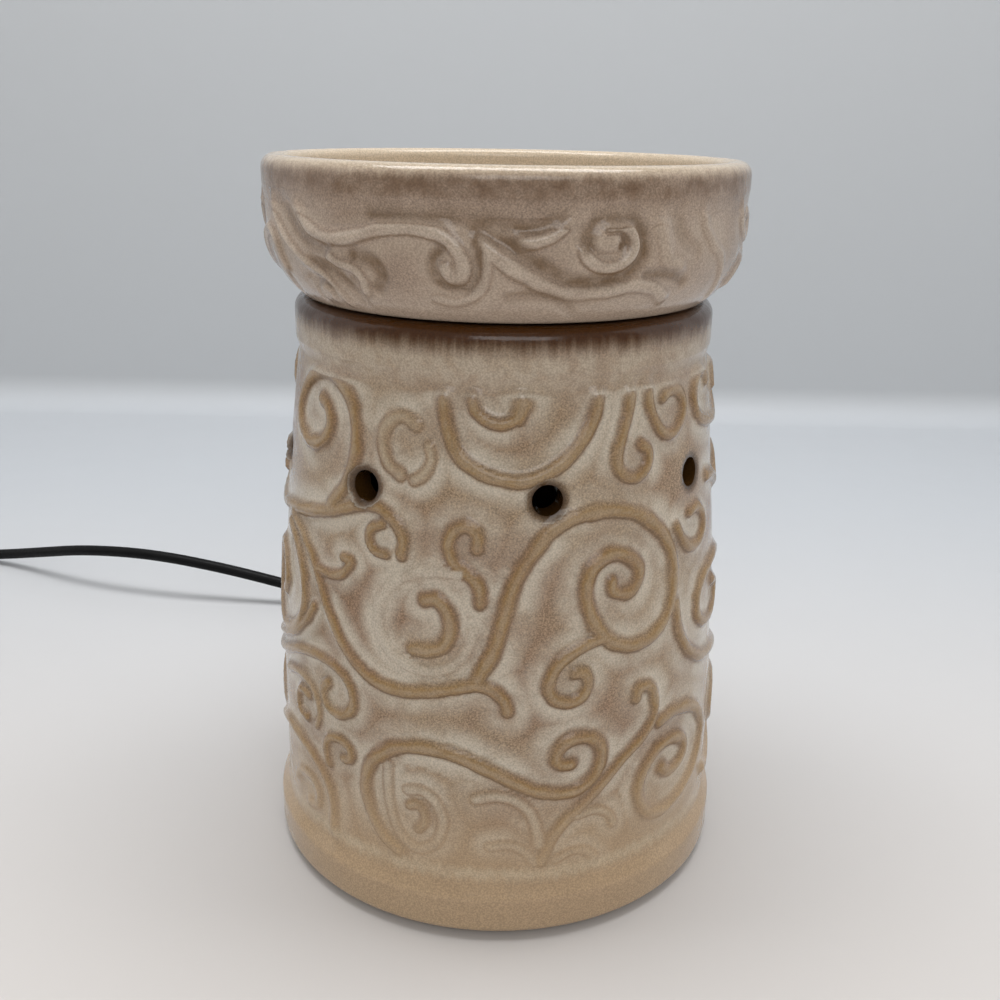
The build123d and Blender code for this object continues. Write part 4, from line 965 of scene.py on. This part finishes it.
@dataclass
class CeramicBody:
    """The ceramic body: a lathed wall with scrollwork, vents and a hole for the cord."""

    seat_height: float = 137.7
    foot_gap: float = 1.5
    wall: float = 5.0
    belly_radius: float = 54.4
    belly_height: float = 20.0
    neck_radius: float = 47.4
    neck_height: float = 126.0
    bead_radius: float = 48.3
    bead_rise: float = 2.5
    mouth_radius: float = 41.5
    foot_radius: float = 56.8
    foot_wall: float = 6.3
    foot_band: float = 10.5
    shoulder_drop: float = 1.4
    cove_rise: float = 1.8
    cove_out: float = 0.5
    wall_rise: float = 4.0
    ledge_radius: float = 42.0
    ledge_thickness: float = 5.2
    ledge_corner: float = 0.9
    recess_depth: float = 4.8
    foot_rounds: tuple[float, ...] = (2.2, 3.2, 3.0)
    bead_rounds: tuple[float, ...] = (2.5, 3.0, 0.8)
    ledge_rounds: tuple[float, ...] = (0.8, 0.6, 0.4)
    vent_count: int = 8
    vent_phase: float = 11.0
    vent_height: float = 103.1
    vent_radius: float = 3.25
    vent_stain: float = 2.2
    cord_height: float = 19.0
    cord_hole_radius: float = 4.5
    steps: int = 416
    row: float = 0.8
    inner_row: float = 7.0
    relief: Relief = field(default_factory=lambda: Relief(1.25, 0.25, 0.3, (12.6, 127.5)))

    def radius_at(self, height: float) -> float:
        """Works out the outer wall's radius.

        Args:
            height: The height, in millimetres.

        Returns:
            The radius there, in millimetres.
        """
        rise = max(0.0, height - self.belly_height)
        narrowing = self.belly_radius - self.neck_radius
        bend = (narrowing**2 + (self.neck_height - self.belly_height) ** 2) / (2 * narrowing)
        return self.belly_radius - bend + sqrt(max(bend**2 - rise**2, 0))

    def holes(self) -> list[Hole]:
        """Lists the holes.

        Returns:
            The vents, and last the cord's hole.
        """
        turn = 360 / self.vent_count
        bearings = [self.vent_phase + turn * n for n in range(self.vent_count)]
        vents = [Hole(bearing, self.vent_height, self.vent_radius) for bearing in bearings]
        return [*vents, Hole(180.0, self.cord_height, self.cord_hole_radius)]

    def inner_heights(self) -> list[float]:
        """Heights of the inner wall's points, from the top down, closer where holes go through.

        Returns:
            The heights.
        """
        heights = [np.arange(self.belly_height, self.neck_height, self.inner_row)]
        for hole in (self.holes()[0], self.holes()[-1]):
            reach = hole.radius + 1
            heights.append(np.arange(hole.height - reach, hole.height + reach, self.row))
        return sorted({round(float(height), 2) for height in np.concatenate(heights)}, reverse=True)

    def outline(self) -> Outline:
        """Draws the body's section, from the foot up the outside and down the inside.

        Returns:
            The section's points.
        """
        foot_top = self.foot_gap + self.foot_band
        wall_bottom = foot_top + self.wall_rise
        recess = self.foot_radius - self.foot_wall
        ledge_bottom = self.foot_gap + self.recess_depth
        ledge_top = ledge_bottom + self.ledge_thickness
        inner = self.belly_radius - self.wall
        bead_bottom = self.neck_height + self.bead_rise
        foot = rounded(
            [
                (recess, self.foot_gap, 0),
                (self.foot_radius, self.foot_gap, self.foot_rounds[0]),
                (self.foot_radius, foot_top - self.shoulder_drop, self.foot_rounds[1]),
                (self.belly_radius + self.cove_out, foot_top + self.cove_rise, self.foot_rounds[2]),
                (self.belly_radius, wall_bottom, 0),
            ],
            segments=6,
        )
        heights = np.arange(wall_bottom + self.row, self.neck_height, self.row)
        wall = [(self.radius_at(height), height) for height in heights]
        rim = rounded(
            [
                (self.neck_radius, self.neck_height, 0),
                (self.bead_radius, bead_bottom, self.bead_rounds[0]),
                (self.bead_radius, self.seat_height, self.bead_rounds[1]),
                (self.mouth_radius, self.seat_height, self.bead_rounds[2]),
                (self.mouth_radius, bead_bottom, 0),
                (self.neck_radius - self.wall, self.neck_height, 0),
            ],
            segments=6,
        )
        inside = [(self.radius_at(height) - self.wall, height) for height in self.inner_heights()]
        ledge = rounded(
            [
                (inner, ledge_top + self.ledge_corner, 0),
                (inner, ledge_top, self.ledge_rounds[0]),
                (self.ledge_radius, ledge_top, self.ledge_rounds[1]),
                (self.ledge_radius, ledge_bottom, self.ledge_rounds[2]),
                (recess, ledge_bottom, 0),
            ],
            segments=3,
        )
        return foot + wall + rim + inside + ledge

    def cut_holes(self, shape: bmesh.types.BMesh) -> None:
        """Opens the holes, and joins their edges through the wall.

        Args:
            shape: The lathed body.
        """
        middles = {face: face.calc_center_median() for face in shape.faces}
        holes = self.holes()
        for hole in holes:
            level = hole.height * MM
            reach = hole.radius * MM
            near = [face for face, place in middles.items() if abs(place.z - level) < reach]
            cut = [face for face in near if hole.holds(middles[face])]
            bmesh.ops.delete(shape, geom=cut, context="FACES")
            for face in cut:
                del middles[face]
        rims = {hole: [] for hole in holes}
        for edge in shape.edges:
            if edge.is_boundary:
                place = (edge.verts[0].co + edge.verts[1].co) / 2
                rims[min(holes, key=lambda hole: self.off(hole, place))].append(edge)
        for hole, edges in rims.items():
            for vertex in {vertex for edge in edges for vertex in edge.verts}:
                vertex.co = hole.round_off(vertex.co)
            bmesh.ops.bridge_loops(shape, edges=edges)

    @staticmethod
    def off(hole: Hole, place: Vector) -> float:
        """How far a place is from a hole's axis, in metres."""
        along, beside, above = hole.across(place)
        return hypot(beside, above) if along > 0 else 1.0

    def build(self) -> bpy.types.Object:
        """Makes the body's piece.

        Returns:
            The piece.
        """
        shape = lathe(self.outline(), self.steps, closed=True)
        self.cut_holes(shape)
        bmesh.ops.recalc_face_normals(shape, faces=shape.faces)
        piece = make_piece("ceramic_body", shape)
        vents = self.holes()[: self.vent_count]
        edge = self.vent_radius * MM
        ring = edge + self.vent_stain * MM
        stain_and_sheen(piece, lambda place: 1 - smooth(edge, ring, min(self.off(vent, place) for vent in vents)))
        self.relief.raise_wall(piece, self.radius_at, BODY_SCROLLS)
        Finish.BODY_GLAZE.dress(piece)
        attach(piece, "base")
        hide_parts("warmer_body")
        return piece


# The raised lines of the dish's front half; the back half repeats them.
DISH_SCROLLS = (
    Scroll("left fall", 2.8, (
        (-63, 160), (-61, 156.8), (-57, 153), (-50.5, 149), (-44, 146.3), (-40.5, 143.6), (-38.6, 140),
    )),
    Scroll("left curl", 2.8, (
        (-46.5, 141), (-45.6, 143), (-43.8, 142.8), (-43.6, 140.8),
    ), strength=0.7),
    Scroll("left leaf", 2.6, (
        (-40, 150), (-37, 148.8), (-33.6, 148.1), (-31.4, 146.2), (-31.6, 143.6),
    ), strength=0.8),
    Scroll("middle wave", 3.4, (
        (-52, 160), (-48.5, 157.3), (-45, 154.8), (-38.5, 153.6), (-31, 154.6), (-25, 156.2),
        (-19, 156.7), (-13.5, 155.8), (-10.2, 153.7), (-8.4, 150.6), (-8.7, 147.8), (-10.6, 147.4),
        (-11.8, 149.3),
    )),
    Scroll("middle ring", 2.6, (
        (-3.9, 152), (-3.6, 149), (-4.4, 146.2), (-7, 143.8), (-10.5, 142.8), (-14.5, 143.3),
    ), strength=0.7),
    Scroll("low wave", 3.8, (
        (-4.6, 154.4), (-2.5, 152.3), (3, 149), (8, 146.5), (12.5, 145), (20, 144.9), (28, 146),
        (34, 145), (38, 143),
    ), strength=0.8),
    Scroll("rim leaf", 3.0, (
        (3.5, 154.2), (7, 154.9), (10, 156), (12, 157.8), (13, 160),
    ), strength=0.9),
    Scroll("spiral", 2.8, (
        (15.8, 153), (17.3, 151), (20.5, 149.7), (23.6, 150), (26, 151.6), (26.9, 154), (26, 156.5),
        (23.5, 157.6), (21, 157.3),
    )),
    Scroll("spiral's middle", 5.0, ((18.6, 155.4), (20.2, 154.4), (21.8, 154.6)), strength=0.4),
    Scroll("spiral's outside", 4.2, (
        (31, 160), (33.4, 157.4), (34.8, 154), (36.4, 150.6), (40, 149),
    ), strength=0.35),
    Scroll("right fall", 3.0, (
        (46, 160), (48, 156), (52, 152.5), (57, 149), (60, 144), (61, 140),
    ), strength=0.35),
    Scroll("side curl", 3.0, (
        (66, 160), (68, 155.5), (73, 152.5), (78, 154), (78, 157.3), (74.6, 157.6),
    ), strength=0.5),
    Scroll("side wave", 3.4, ((70, 143), (77, 146.5), (85, 148), (92, 152), (98, 157.5), (101, 160.5))),
    Scroll("left side curl", 3.0, (
        (-86, 142.5), (-80, 146), (-74, 150.5), (-67, 153.4), (-62.5, 151.6), (-60.2, 146),
    )),
)


# The sunk lines of the dish's front half, darkened with painted shade; the back half repeats them.
DISH_HOLLOWS = (
    Scroll("left fall's side", 2.8, (
        (-57.5, 159.4), (-54.5, 156.6), (-50.5, 153.6), (-46, 152), (-41, 151.4),
    ), strength=0.7),
    Scroll("left fall's foot", 2.4, (
        (-46, 148.7), (-41, 147.6), (-37.4, 145.6), (-35, 143.4), (-33.8, 140.8),
    ), strength=0.8),
    Scroll("left curl's side", 2.0, (
        (-49, 140), (-48.7, 142.2), (-46.8, 144.3), (-44, 145), (-41.9, 143.6),
    ), strength=0.7),
    Scroll("left leaf's side", 3.0, (
        (-33, 150.8), (-29.4, 150.4), (-27.2, 148.6), (-26.6, 146.6), (-28.4, 144.6),
    )),
    Scroll("middle curl's eye", 2.0, (
        (-12.6, 153), (-14.3, 151.6), (-14.9, 149.4), (-14, 147.2), (-11.6, 145.9), (-9, 146),
    )),
    Scroll("middle curl's side", 2.0, (
        (-5.8, 155), (-5.2, 152.6), (-5, 150), (-5.8, 147.4), (-7.6, 145.8),
    ), strength=0.9),
    Scroll("under the rim", 2.8, (
        (-28, 158.6), (-21, 159.3), (-14, 159.4), (-7, 158.7), (0, 157.8), (5, 157.3), (9, 158),
        (11, 159.6),
    )),
    Scroll("spiral's side", 2.8, (
        (16.6, 153.6), (16.8, 156.4), (18.8, 158.6), (22, 159.4), (25.8, 159), (28.4, 157), (29.6, 154),
        (29.2, 151.2), (27, 149.2), (23, 147.6), (18, 147), (13, 147.7), (9, 149.7), (5, 152),
        (0, 154.8), (-6, 156.6),
    )),
    Scroll("spiral's eye", 1.8, ((24, 153.6), (25, 154.4), (24.6, 155.4)), strength=0.9),
    Scroll("low hollow", 2.2, (
        (1, 144), (5, 144.3), (9.5, 144), (13, 142.6), (15.5, 140.3),
    ), strength=0.8),
    Scroll("right hollow", 2.4, ((31, 148), (35, 148), (39, 147.6), (43, 146)), strength=0.8),
    Scroll("right side", 3.4, ((37.5, 160), (38.4, 156.6), (41.5, 153.6), (45, 152)), strength=0.4),
    Scroll("side's foot", 3.0, ((74, 149.5), (82, 151.5), (88, 155.5), (92, 160)), strength=0.7),
    Scroll("left side's foot", 3.0, ((-64, 149), (-63, 145.6), (-62.4, 141)), strength=0.7),
)


@dataclass
class WaxDish:
    """The loose dish: a lathed bowl with softer scrollwork and a plain rim."""

    seat_height: float = 137.7
    height: float = 30.3
    radius: float = 53.4
    rim_radius: float = 54.3
    rim_band: float = 7.0
    rim_step: float = 1.2
    rim_blend: float = 3.0
    lip_depth: float = 3.0
    base_radius: float = 45.6
    belly_rise: float = 16.3
    wall: float = 4.6
    floor: float = 5.0
    bowl_round: float = 14.0
    ring_radius: float = 40.7
    ring_wall: float = 4.0
    ring_depth: float = 5.0
    edge_lift: float = 0.7
    seat_width: float = 2.6
    rim_rounds: tuple[float, ...] = (2.0, 2.8, 3.0, 3.0)
    ring_rounds: tuple[float, ...] = (0.3, 0.8, 0.8, 0.5)
    tint_and_sheen_depth: float = 2.5
    steps: int = 456
    row: float = 0.7
    floor_row: float = 6.0
    relief: Relief = field(default_factory=lambda: Relief(1.1, 0.3, 0.3, (138.2, 161.5)))

    def radius_at(self, height: float) -> float:
        """Works out the outer wall's radius.

        Args:
            height: The height, in millimetres.

        Returns:
            The radius there, in millimetres.
        """
        drop = min(max(0.0, self.seat_height + self.belly_rise - height), self.belly_rise)
        narrowing = self.radius - self.base_radius
        bend = (narrowing**2 + self.belly_rise**2) / (2 * narrowing)
        return self.radius - bend + sqrt(bend**2 - drop**2)

    def off(self, place: Vector) -> float:
        """How far inside the outer wall a place in metres is, in millimetres."""
        return self.radius_at(place.z / MM) - hypot(place.x, place.y) / MM

    def outline(self) -> Outline:
        """Draws the dish's section, from the bowl's middle over the rim to the bottom's middle.

        Returns:
            The section's points.
        """
        top = self.seat_height + self.height
        bowl_floor = self.seat_height + self.floor
        bowl = self.radius - self.wall
        band_bottom = top - self.rim_band
        wall_top = band_bottom - self.rim_step - self.rim_blend
        ring_inner = self.ring_radius - self.ring_wall
        ring_bottom = self.seat_height - self.ring_depth
        flat = np.arange(0, bowl - self.bowl_round, self.floor_row)
        floor = [(radius, bowl_floor) for radius in flat]
        inside = rounded(
            [
                (bowl - self.bowl_round - 2, bowl_floor, 0),
                (bowl, bowl_floor, self.bowl_round),
                (bowl, top - self.lip_depth - 1, 0),
            ],
            segments=14,
        )
        rim = rounded(
            [
                (bowl, top - self.lip_depth, 0),
                (bowl, top, self.rim_rounds[0]),
                (self.rim_radius, top, self.rim_rounds[1]),
                (self.rim_radius, band_bottom + 1, self.rim_rounds[2]),
                (self.radius + 0.1, band_bottom - self.rim_step - 1, self.rim_rounds[3]),
                (self.radius, wall_top, 0),
            ],
            segments=6,
        )
        edge = self.seat_height + self.edge_lift
        heights = np.arange(wall_top - self.row, edge + 0.5, -self.row)
        wall = [(self.radius_at(height), height) for height in heights]
        under = rounded(
            [
                (self.radius_at(edge + 0.4), edge + 0.4, 0),
                (self.radius_at(edge), edge, 0),
                (self.ring_radius + self.seat_width, self.seat_height, 0),
                (self.ring_radius, self.seat_height, self.ring_rounds[0]),
                (self.ring_radius, ring_bottom, self.ring_rounds[1]),
                (ring_inner, ring_bottom, self.ring_rounds[2]),
                (ring_inner, self.seat_height, self.ring_rounds[3]),
                (0, self.seat_height, 0),
            ],
            segments=3,
        )
        return floor + inside + rim + wall + under

    def build(self) -> bpy.types.Object:
        """Makes the dish's piece.

        Returns:
            The piece.
        """
        piece = make_piece("ceramic_dish", lathe(self.outline(), self.steps, closed=False))
        bowl_floor = (self.seat_height + self.floor - 0.1) * MM
        # The bowl's inside takes the stain colour, paled partly as a painted reflection.
        stain_and_sheen(piece, lambda place: float(place.z > bowl_floor and self.off(place) > self.tint_and_sheen_depth))
        self.relief.raise_wall(piece, self.radius_at, DISH_SCROLLS, DISH_HOLLOWS)
        Finish.DISH_GLAZE.dress(piece)
        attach(piece, "dish")
        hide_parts("wax_dish")
        return piece


@dataclass
class PowerCord:
    """The black cord: from the bushing to the switch, and on through its coil to the plug."""

    diameter: float = 4.0
    to_switch: tuple[Place, ...] = (
        (0, 78.3, 19), (0, 90.8, 19), (-3, 104, 13.5), (-13, 113.5, 6.5), (-31, 118, 2), (-54, 120, 2),
        (-78, 121.8, 7.6), (-104, 124, 13.4), (-132, 127.8, 17), (-160, 136, 15), (-184, 148, 8.5),
        (-206, 158, 3), (-230, 159, 2.4), (-243, 140, 8), (-243, 123, 8),
    )
    to_coil: tuple[Place, ...] = (
        (-243, 61, 8), (-243, 52, 8), (-243.4, 44, 5.4), (-243, 36, 2.9), (-243, 26, 2.9),
    )
    to_plug: tuple[Place, ...] = (
        (-243, 18, 7.4), (-243, 10, 7.4), (-243.6, 0, 6.1), (-244.6, -11, 6.1), (-245, -20, 7.4),
        (-245, -28, 7.4),
    )
    coil_place: Pair = (-211, 22)
    coil_turns: int = 7
    coil_radius: float = 32.0
    coil_pitch: float = 4.6
    coil_low: float = 2.9
    coil_rise: float = 4.5
    coil_climb: float = 0.25
    coil_points: int = 16

    def coil_point(self, turn: float) -> Place:
        """A point of the coil, which winds in along the lower layer and out along the upper one.

        Args:
            turn: How many turns it is from the coil's start.

        Returns:
            The point, in millimetres.
        """
        half = self.coil_turns / 2
        past = turn - half
        share = min(max((past / self.coil_climb + 1) / 2, 0), 1)
        inward = half - abs(past)
        if abs(past) < self.coil_climb:
            inward = half - self.coil_climb / 2 - past**2 / (2 * self.coil_climb)
        radius = (self.coil_radius - self.coil_pitch * inward) * 2 / (1 + cos(pi / self.coil_points))
        height = self.coil_low + self.coil_rise * share**2 * (3 - 2 * share)
        angle = pi + 2 * pi * turn
        x, y = self.coil_place
        return (x + radius * cos(angle), y + radius * sin(angle), height)

    def spline(self, name: str, route: Iterable[Place]) -> bpy.types.Object:
        """Makes one length of cord.

        Args:
            name: The piece's name.
            route: The points that shape it, in millimetres.

        Returns:
            The piece.
        """
        points = list(route)
        curve = bpy.data.curves.new(name, "CURVE")
        curve.dimensions = "3D"
        curve.bevel_depth = 1.0
        curve.bevel_resolution = 5
        curve.use_fill_caps = True
        line = curve.splines.new("NURBS")
        line.points.add(len(points) - 1)
        for point, place in zip(line.points, points):
            point.co = (*(Vector(place) * MM), 1)
            point.radius = self.diameter * MM / 2
        line.order_u = 3
        line.use_endpoint_u = True
        line.resolution_u = 6
        piece = bpy.data.objects.new(name, curve)
        bpy.context.scene.collection.objects.link(piece)
        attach(piece, "base")
        Finish.CORD_BLACK.dress(piece)
        log.info("%s: %d points", name, len(points))
        return piece

    def build(self) -> None:
        """Makes both lengths of cord, and dresses what is on them."""
        first = self.spline("cord_from_body", self.to_switch)
        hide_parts("cord_to_switch")
        Vector(self.to_switch[0]) * MM
        steps = range(self.coil_turns * self.coil_points + 1)
        turns = [self.coil_point(step / self.coil_points) for step in steps]
        second = self.spline("cord_to_plug_end", [*self.to_coil, *turns, *self.to_plug])
        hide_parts("cord_to_coil", "cord_coil", "cord_to_plug")
        Vector(self.to_coil[0]) * MM
        Finish.RUBBER.dress_nodes("cord_bushing")
        Finish.CORD_BLACK.dress_nodes("inner_cord", "cord_tie", "plug_body")
        Finish.SWITCH_BLACK.dress_nodes("switch_lower", "switch_upper", "switch_wheel")
        Finish.PLATED_STEEL.dress_nodes("switch_axle", "switch_screws")
        Finish.BRASS.dress_nodes("plug_blades")
        Finish.WIRE_WHITE.dress_nodes("cord_stop", "lead_wires")


@dataclass
class LampHolder:
    """The lamp holder, its bulb and the plate that carries them."""

    def build(self) -> None:
        """Dresses the CAD nodes inside and under the body."""
        Finish.PLATE_PAINT.dress_nodes("base_plate")
        Finish.RUBBER.dress_nodes("rubber_feet")
        Finish.PLATED_STEEL.dress_nodes("clamp_bridge", "clamp_screws")
        Finish.PLATED_STEEL.dress_nodes("socket_nipple", "nipple_nuts", "socket_hickey")
        Finish.PHENOLIC.dress_nodes("socket_housing")
        Finish.BRASS.dress_nodes("socket_rivets", "socket_shell", "socket_contact")
        Finish.NICKEL.dress_nodes("bulb_tip", "bulb_cap", "bulb_leads")
        Finish.BLACK_GLASS.dress_nodes("bulb_insulator")
        Finish.CLEAR_GLASS.dress_nodes("bulb_glass", "bulb_stem")
        Finish.TUNGSTEN.dress_nodes("bulb_filament")


@dataclass(frozen=True)
class SoftLight:
    """A soft rectangular light.

    Attributes:
        name: The light's name.
        place: Where it hangs, in metres.
        aim: What it points at, in metres.
        size: Its width and height, in metres.
        power: Its power in watts.
    """

    name: str
    place: Place
    aim: Place
    size: Pair
    power: float

    def hang(self) -> None:
        """Adds the light to the scene."""
        lamp = bpy.data.lights.new(self.name, "AREA")
        lamp.shape = "RECTANGLE"
        lamp.size, lamp.size_y = self.size
        lamp.energy = self.power
        piece = bpy.data.objects.new(self.name, lamp)
        way = Vector(self.aim) - Vector(self.place)
        turn = way.to_track_quat("-Z", "Y").to_matrix().to_4x4()
        piece.matrix_world = Matrix.Translation(self.place) @ turn
        bpy.context.scene.collection.objects.link(piece)


@dataclass
class Studio:
    """The pale sweep, the soft lights and the camera. Only the camera's place is in millimetres."""

    camera_place: Place = (-0.06, -259.06, 176.4)
    camera_tilt: float = 70.74
    camera_roll: float = 1.03
    focal_length: float = 39.6
    front_colour: Colour = srgb(207, 202, 198)
    back_colour: Colour = srgb(188, 192, 197)
    wall_colour: Colour = srgb(181, 184, 187)
    floor_front: float = -4.0
    floor_fade: Pair = (-0.2, 0.3)
    wall_depth: float = 0.41
    wall_height: float = 1.8
    wall_bend: float = 0.02
    half_width: float = 8.0
    air_colour: Colour = (1.0, 0.985, 0.96)
    air_strength: float = 0.42
    lights: tuple[SoftLight, ...] = (
        SoftLight("top_softbox", (0.0, 0.06, 0.82), (0.0, 0.0, 0.1), (0.8, 0.3), 5.6),
        SoftLight("left_softbox", (-0.72, 0.12, 0.35), (0.0, 0.0, 0.08), (0.6, 0.9), 0.85),
        SoftLight("right_softbox", (0.72, 0.1, 0.35), (0.0, 0.0, 0.08), (0.6, 0.9), 0.85),
        SoftLight("front_softbox", (0.1, -0.95, 0.7), (0.0, 0.0, 0.08), (0.8, 0.5), 2.8),
    )

    def sweep(self) -> None:
        """Makes floor and backdrop as one curved sheet, which can be seen through from behind."""
        bend = self.wall_bend
        foot = self.wall_depth - bend
        turns = [radians(angle) for angle in range(10, 91, 10)]
        outline = [(self.floor_front, 0.0), (foot, 0.0)]
        outline += [(foot + bend * sin(turn), bend - bend * cos(turn)) for turn in turns]
        outline += [(self.wall_depth, self.wall_height)]
        shape = bmesh.new()
        points = [shape.verts.new((-self.half_width, y, z)) for y, z in outline]
        lines = [shape.edges.new(pair) for pair in zip(points, points[1:])]
        sheet = bmesh.ops.extrude_edge_only(shape, edges=lines)["geom"]
        far = [part for part in sheet if isinstance(part, bmesh.types.BMVert)]
        bmesh.ops.translate(shape, vec=(2 * self.half_width, 0, 0), verts=far)
        shape.normal_update()
        away = [face for face in shape.faces if face.normal.z - face.normal.y < 0]
        bmesh.ops.reverse_faces(shape, faces=away)
        piece = make_piece("sweep", shape)
        shader = Shader("sweep_paper")
        back = shader.ease(shader.along("Y"), *self.floor_fade)
        colour = shader.mix(back, self.front_colour, self.back_colour)
        colour = shader.mix(shader.ease(shader.along("Z"), 0.0, bend), colour, self.wall_colour)
        tone = shader.ease(shader.cloud(40), 0.3, 0.7, 0.55, 0.62)
        front = shader.work("SUBTRACT", 1.0, shader.add("ShaderNodeNewGeometry").outputs["Backfacing"])
        piece.data.materials.append(shader.finish(Base_Color=colour, Roughness=tone, Alpha=front))

    def air(self) -> bpy.types.World:
        """Makes the even light from all round.

        Returns:
            The world.
        """
        world = bpy.data.worlds.new("studio_air")
        world.use_nodes = True
        background = world.node_tree.nodes["Background"]
        background.inputs["Color"].default_value = (*self.air_colour, 1.0)
        background.inputs["Strength"].default_value = self.air_strength
        return world

    def camera(self) -> bpy.types.Object:
        """Sets the camera up where the photo was taken from.

        Returns:
            The camera.
        """
        lens = bpy.data.cameras.new("photo_camera")
        lens.lens = self.focal_length
        lens.sensor_width = 36.0
        lens.clip_start = 0.01
        camera = bpy.data.objects.new("photo_camera", lens)
        tilt = Matrix.Rotation(radians(self.camera_tilt), 4, "X")
        roll = Matrix.Rotation(radians(self.camera_roll), 4, "Z")
        camera.matrix_world = Matrix.Translation(Vector(self.camera_place) * MM) @ tilt @ roll
        bpy.context.scene.collection.objects.link(camera)
        return camera

    def build(self) -> None:
        """Sets the sweep, lights, world and camera."""
        self.sweep()
        for light in self.lights:
            light.hang()
        scene = bpy.context.scene
        scene.world = self.air()
        scene.view_settings.view_transform = "Standard"
        scene.camera = self.camera()


def main() -> None:
    """Builds every piece of the warmer and the studio round it."""
    logging.basicConfig(level=logging.INFO)
    Studio().build()
    PowerCord().build()
    LampHolder().build()
    CeramicBody().build()
    WaxDish().build()


if __name__ == "__main__":
    main()
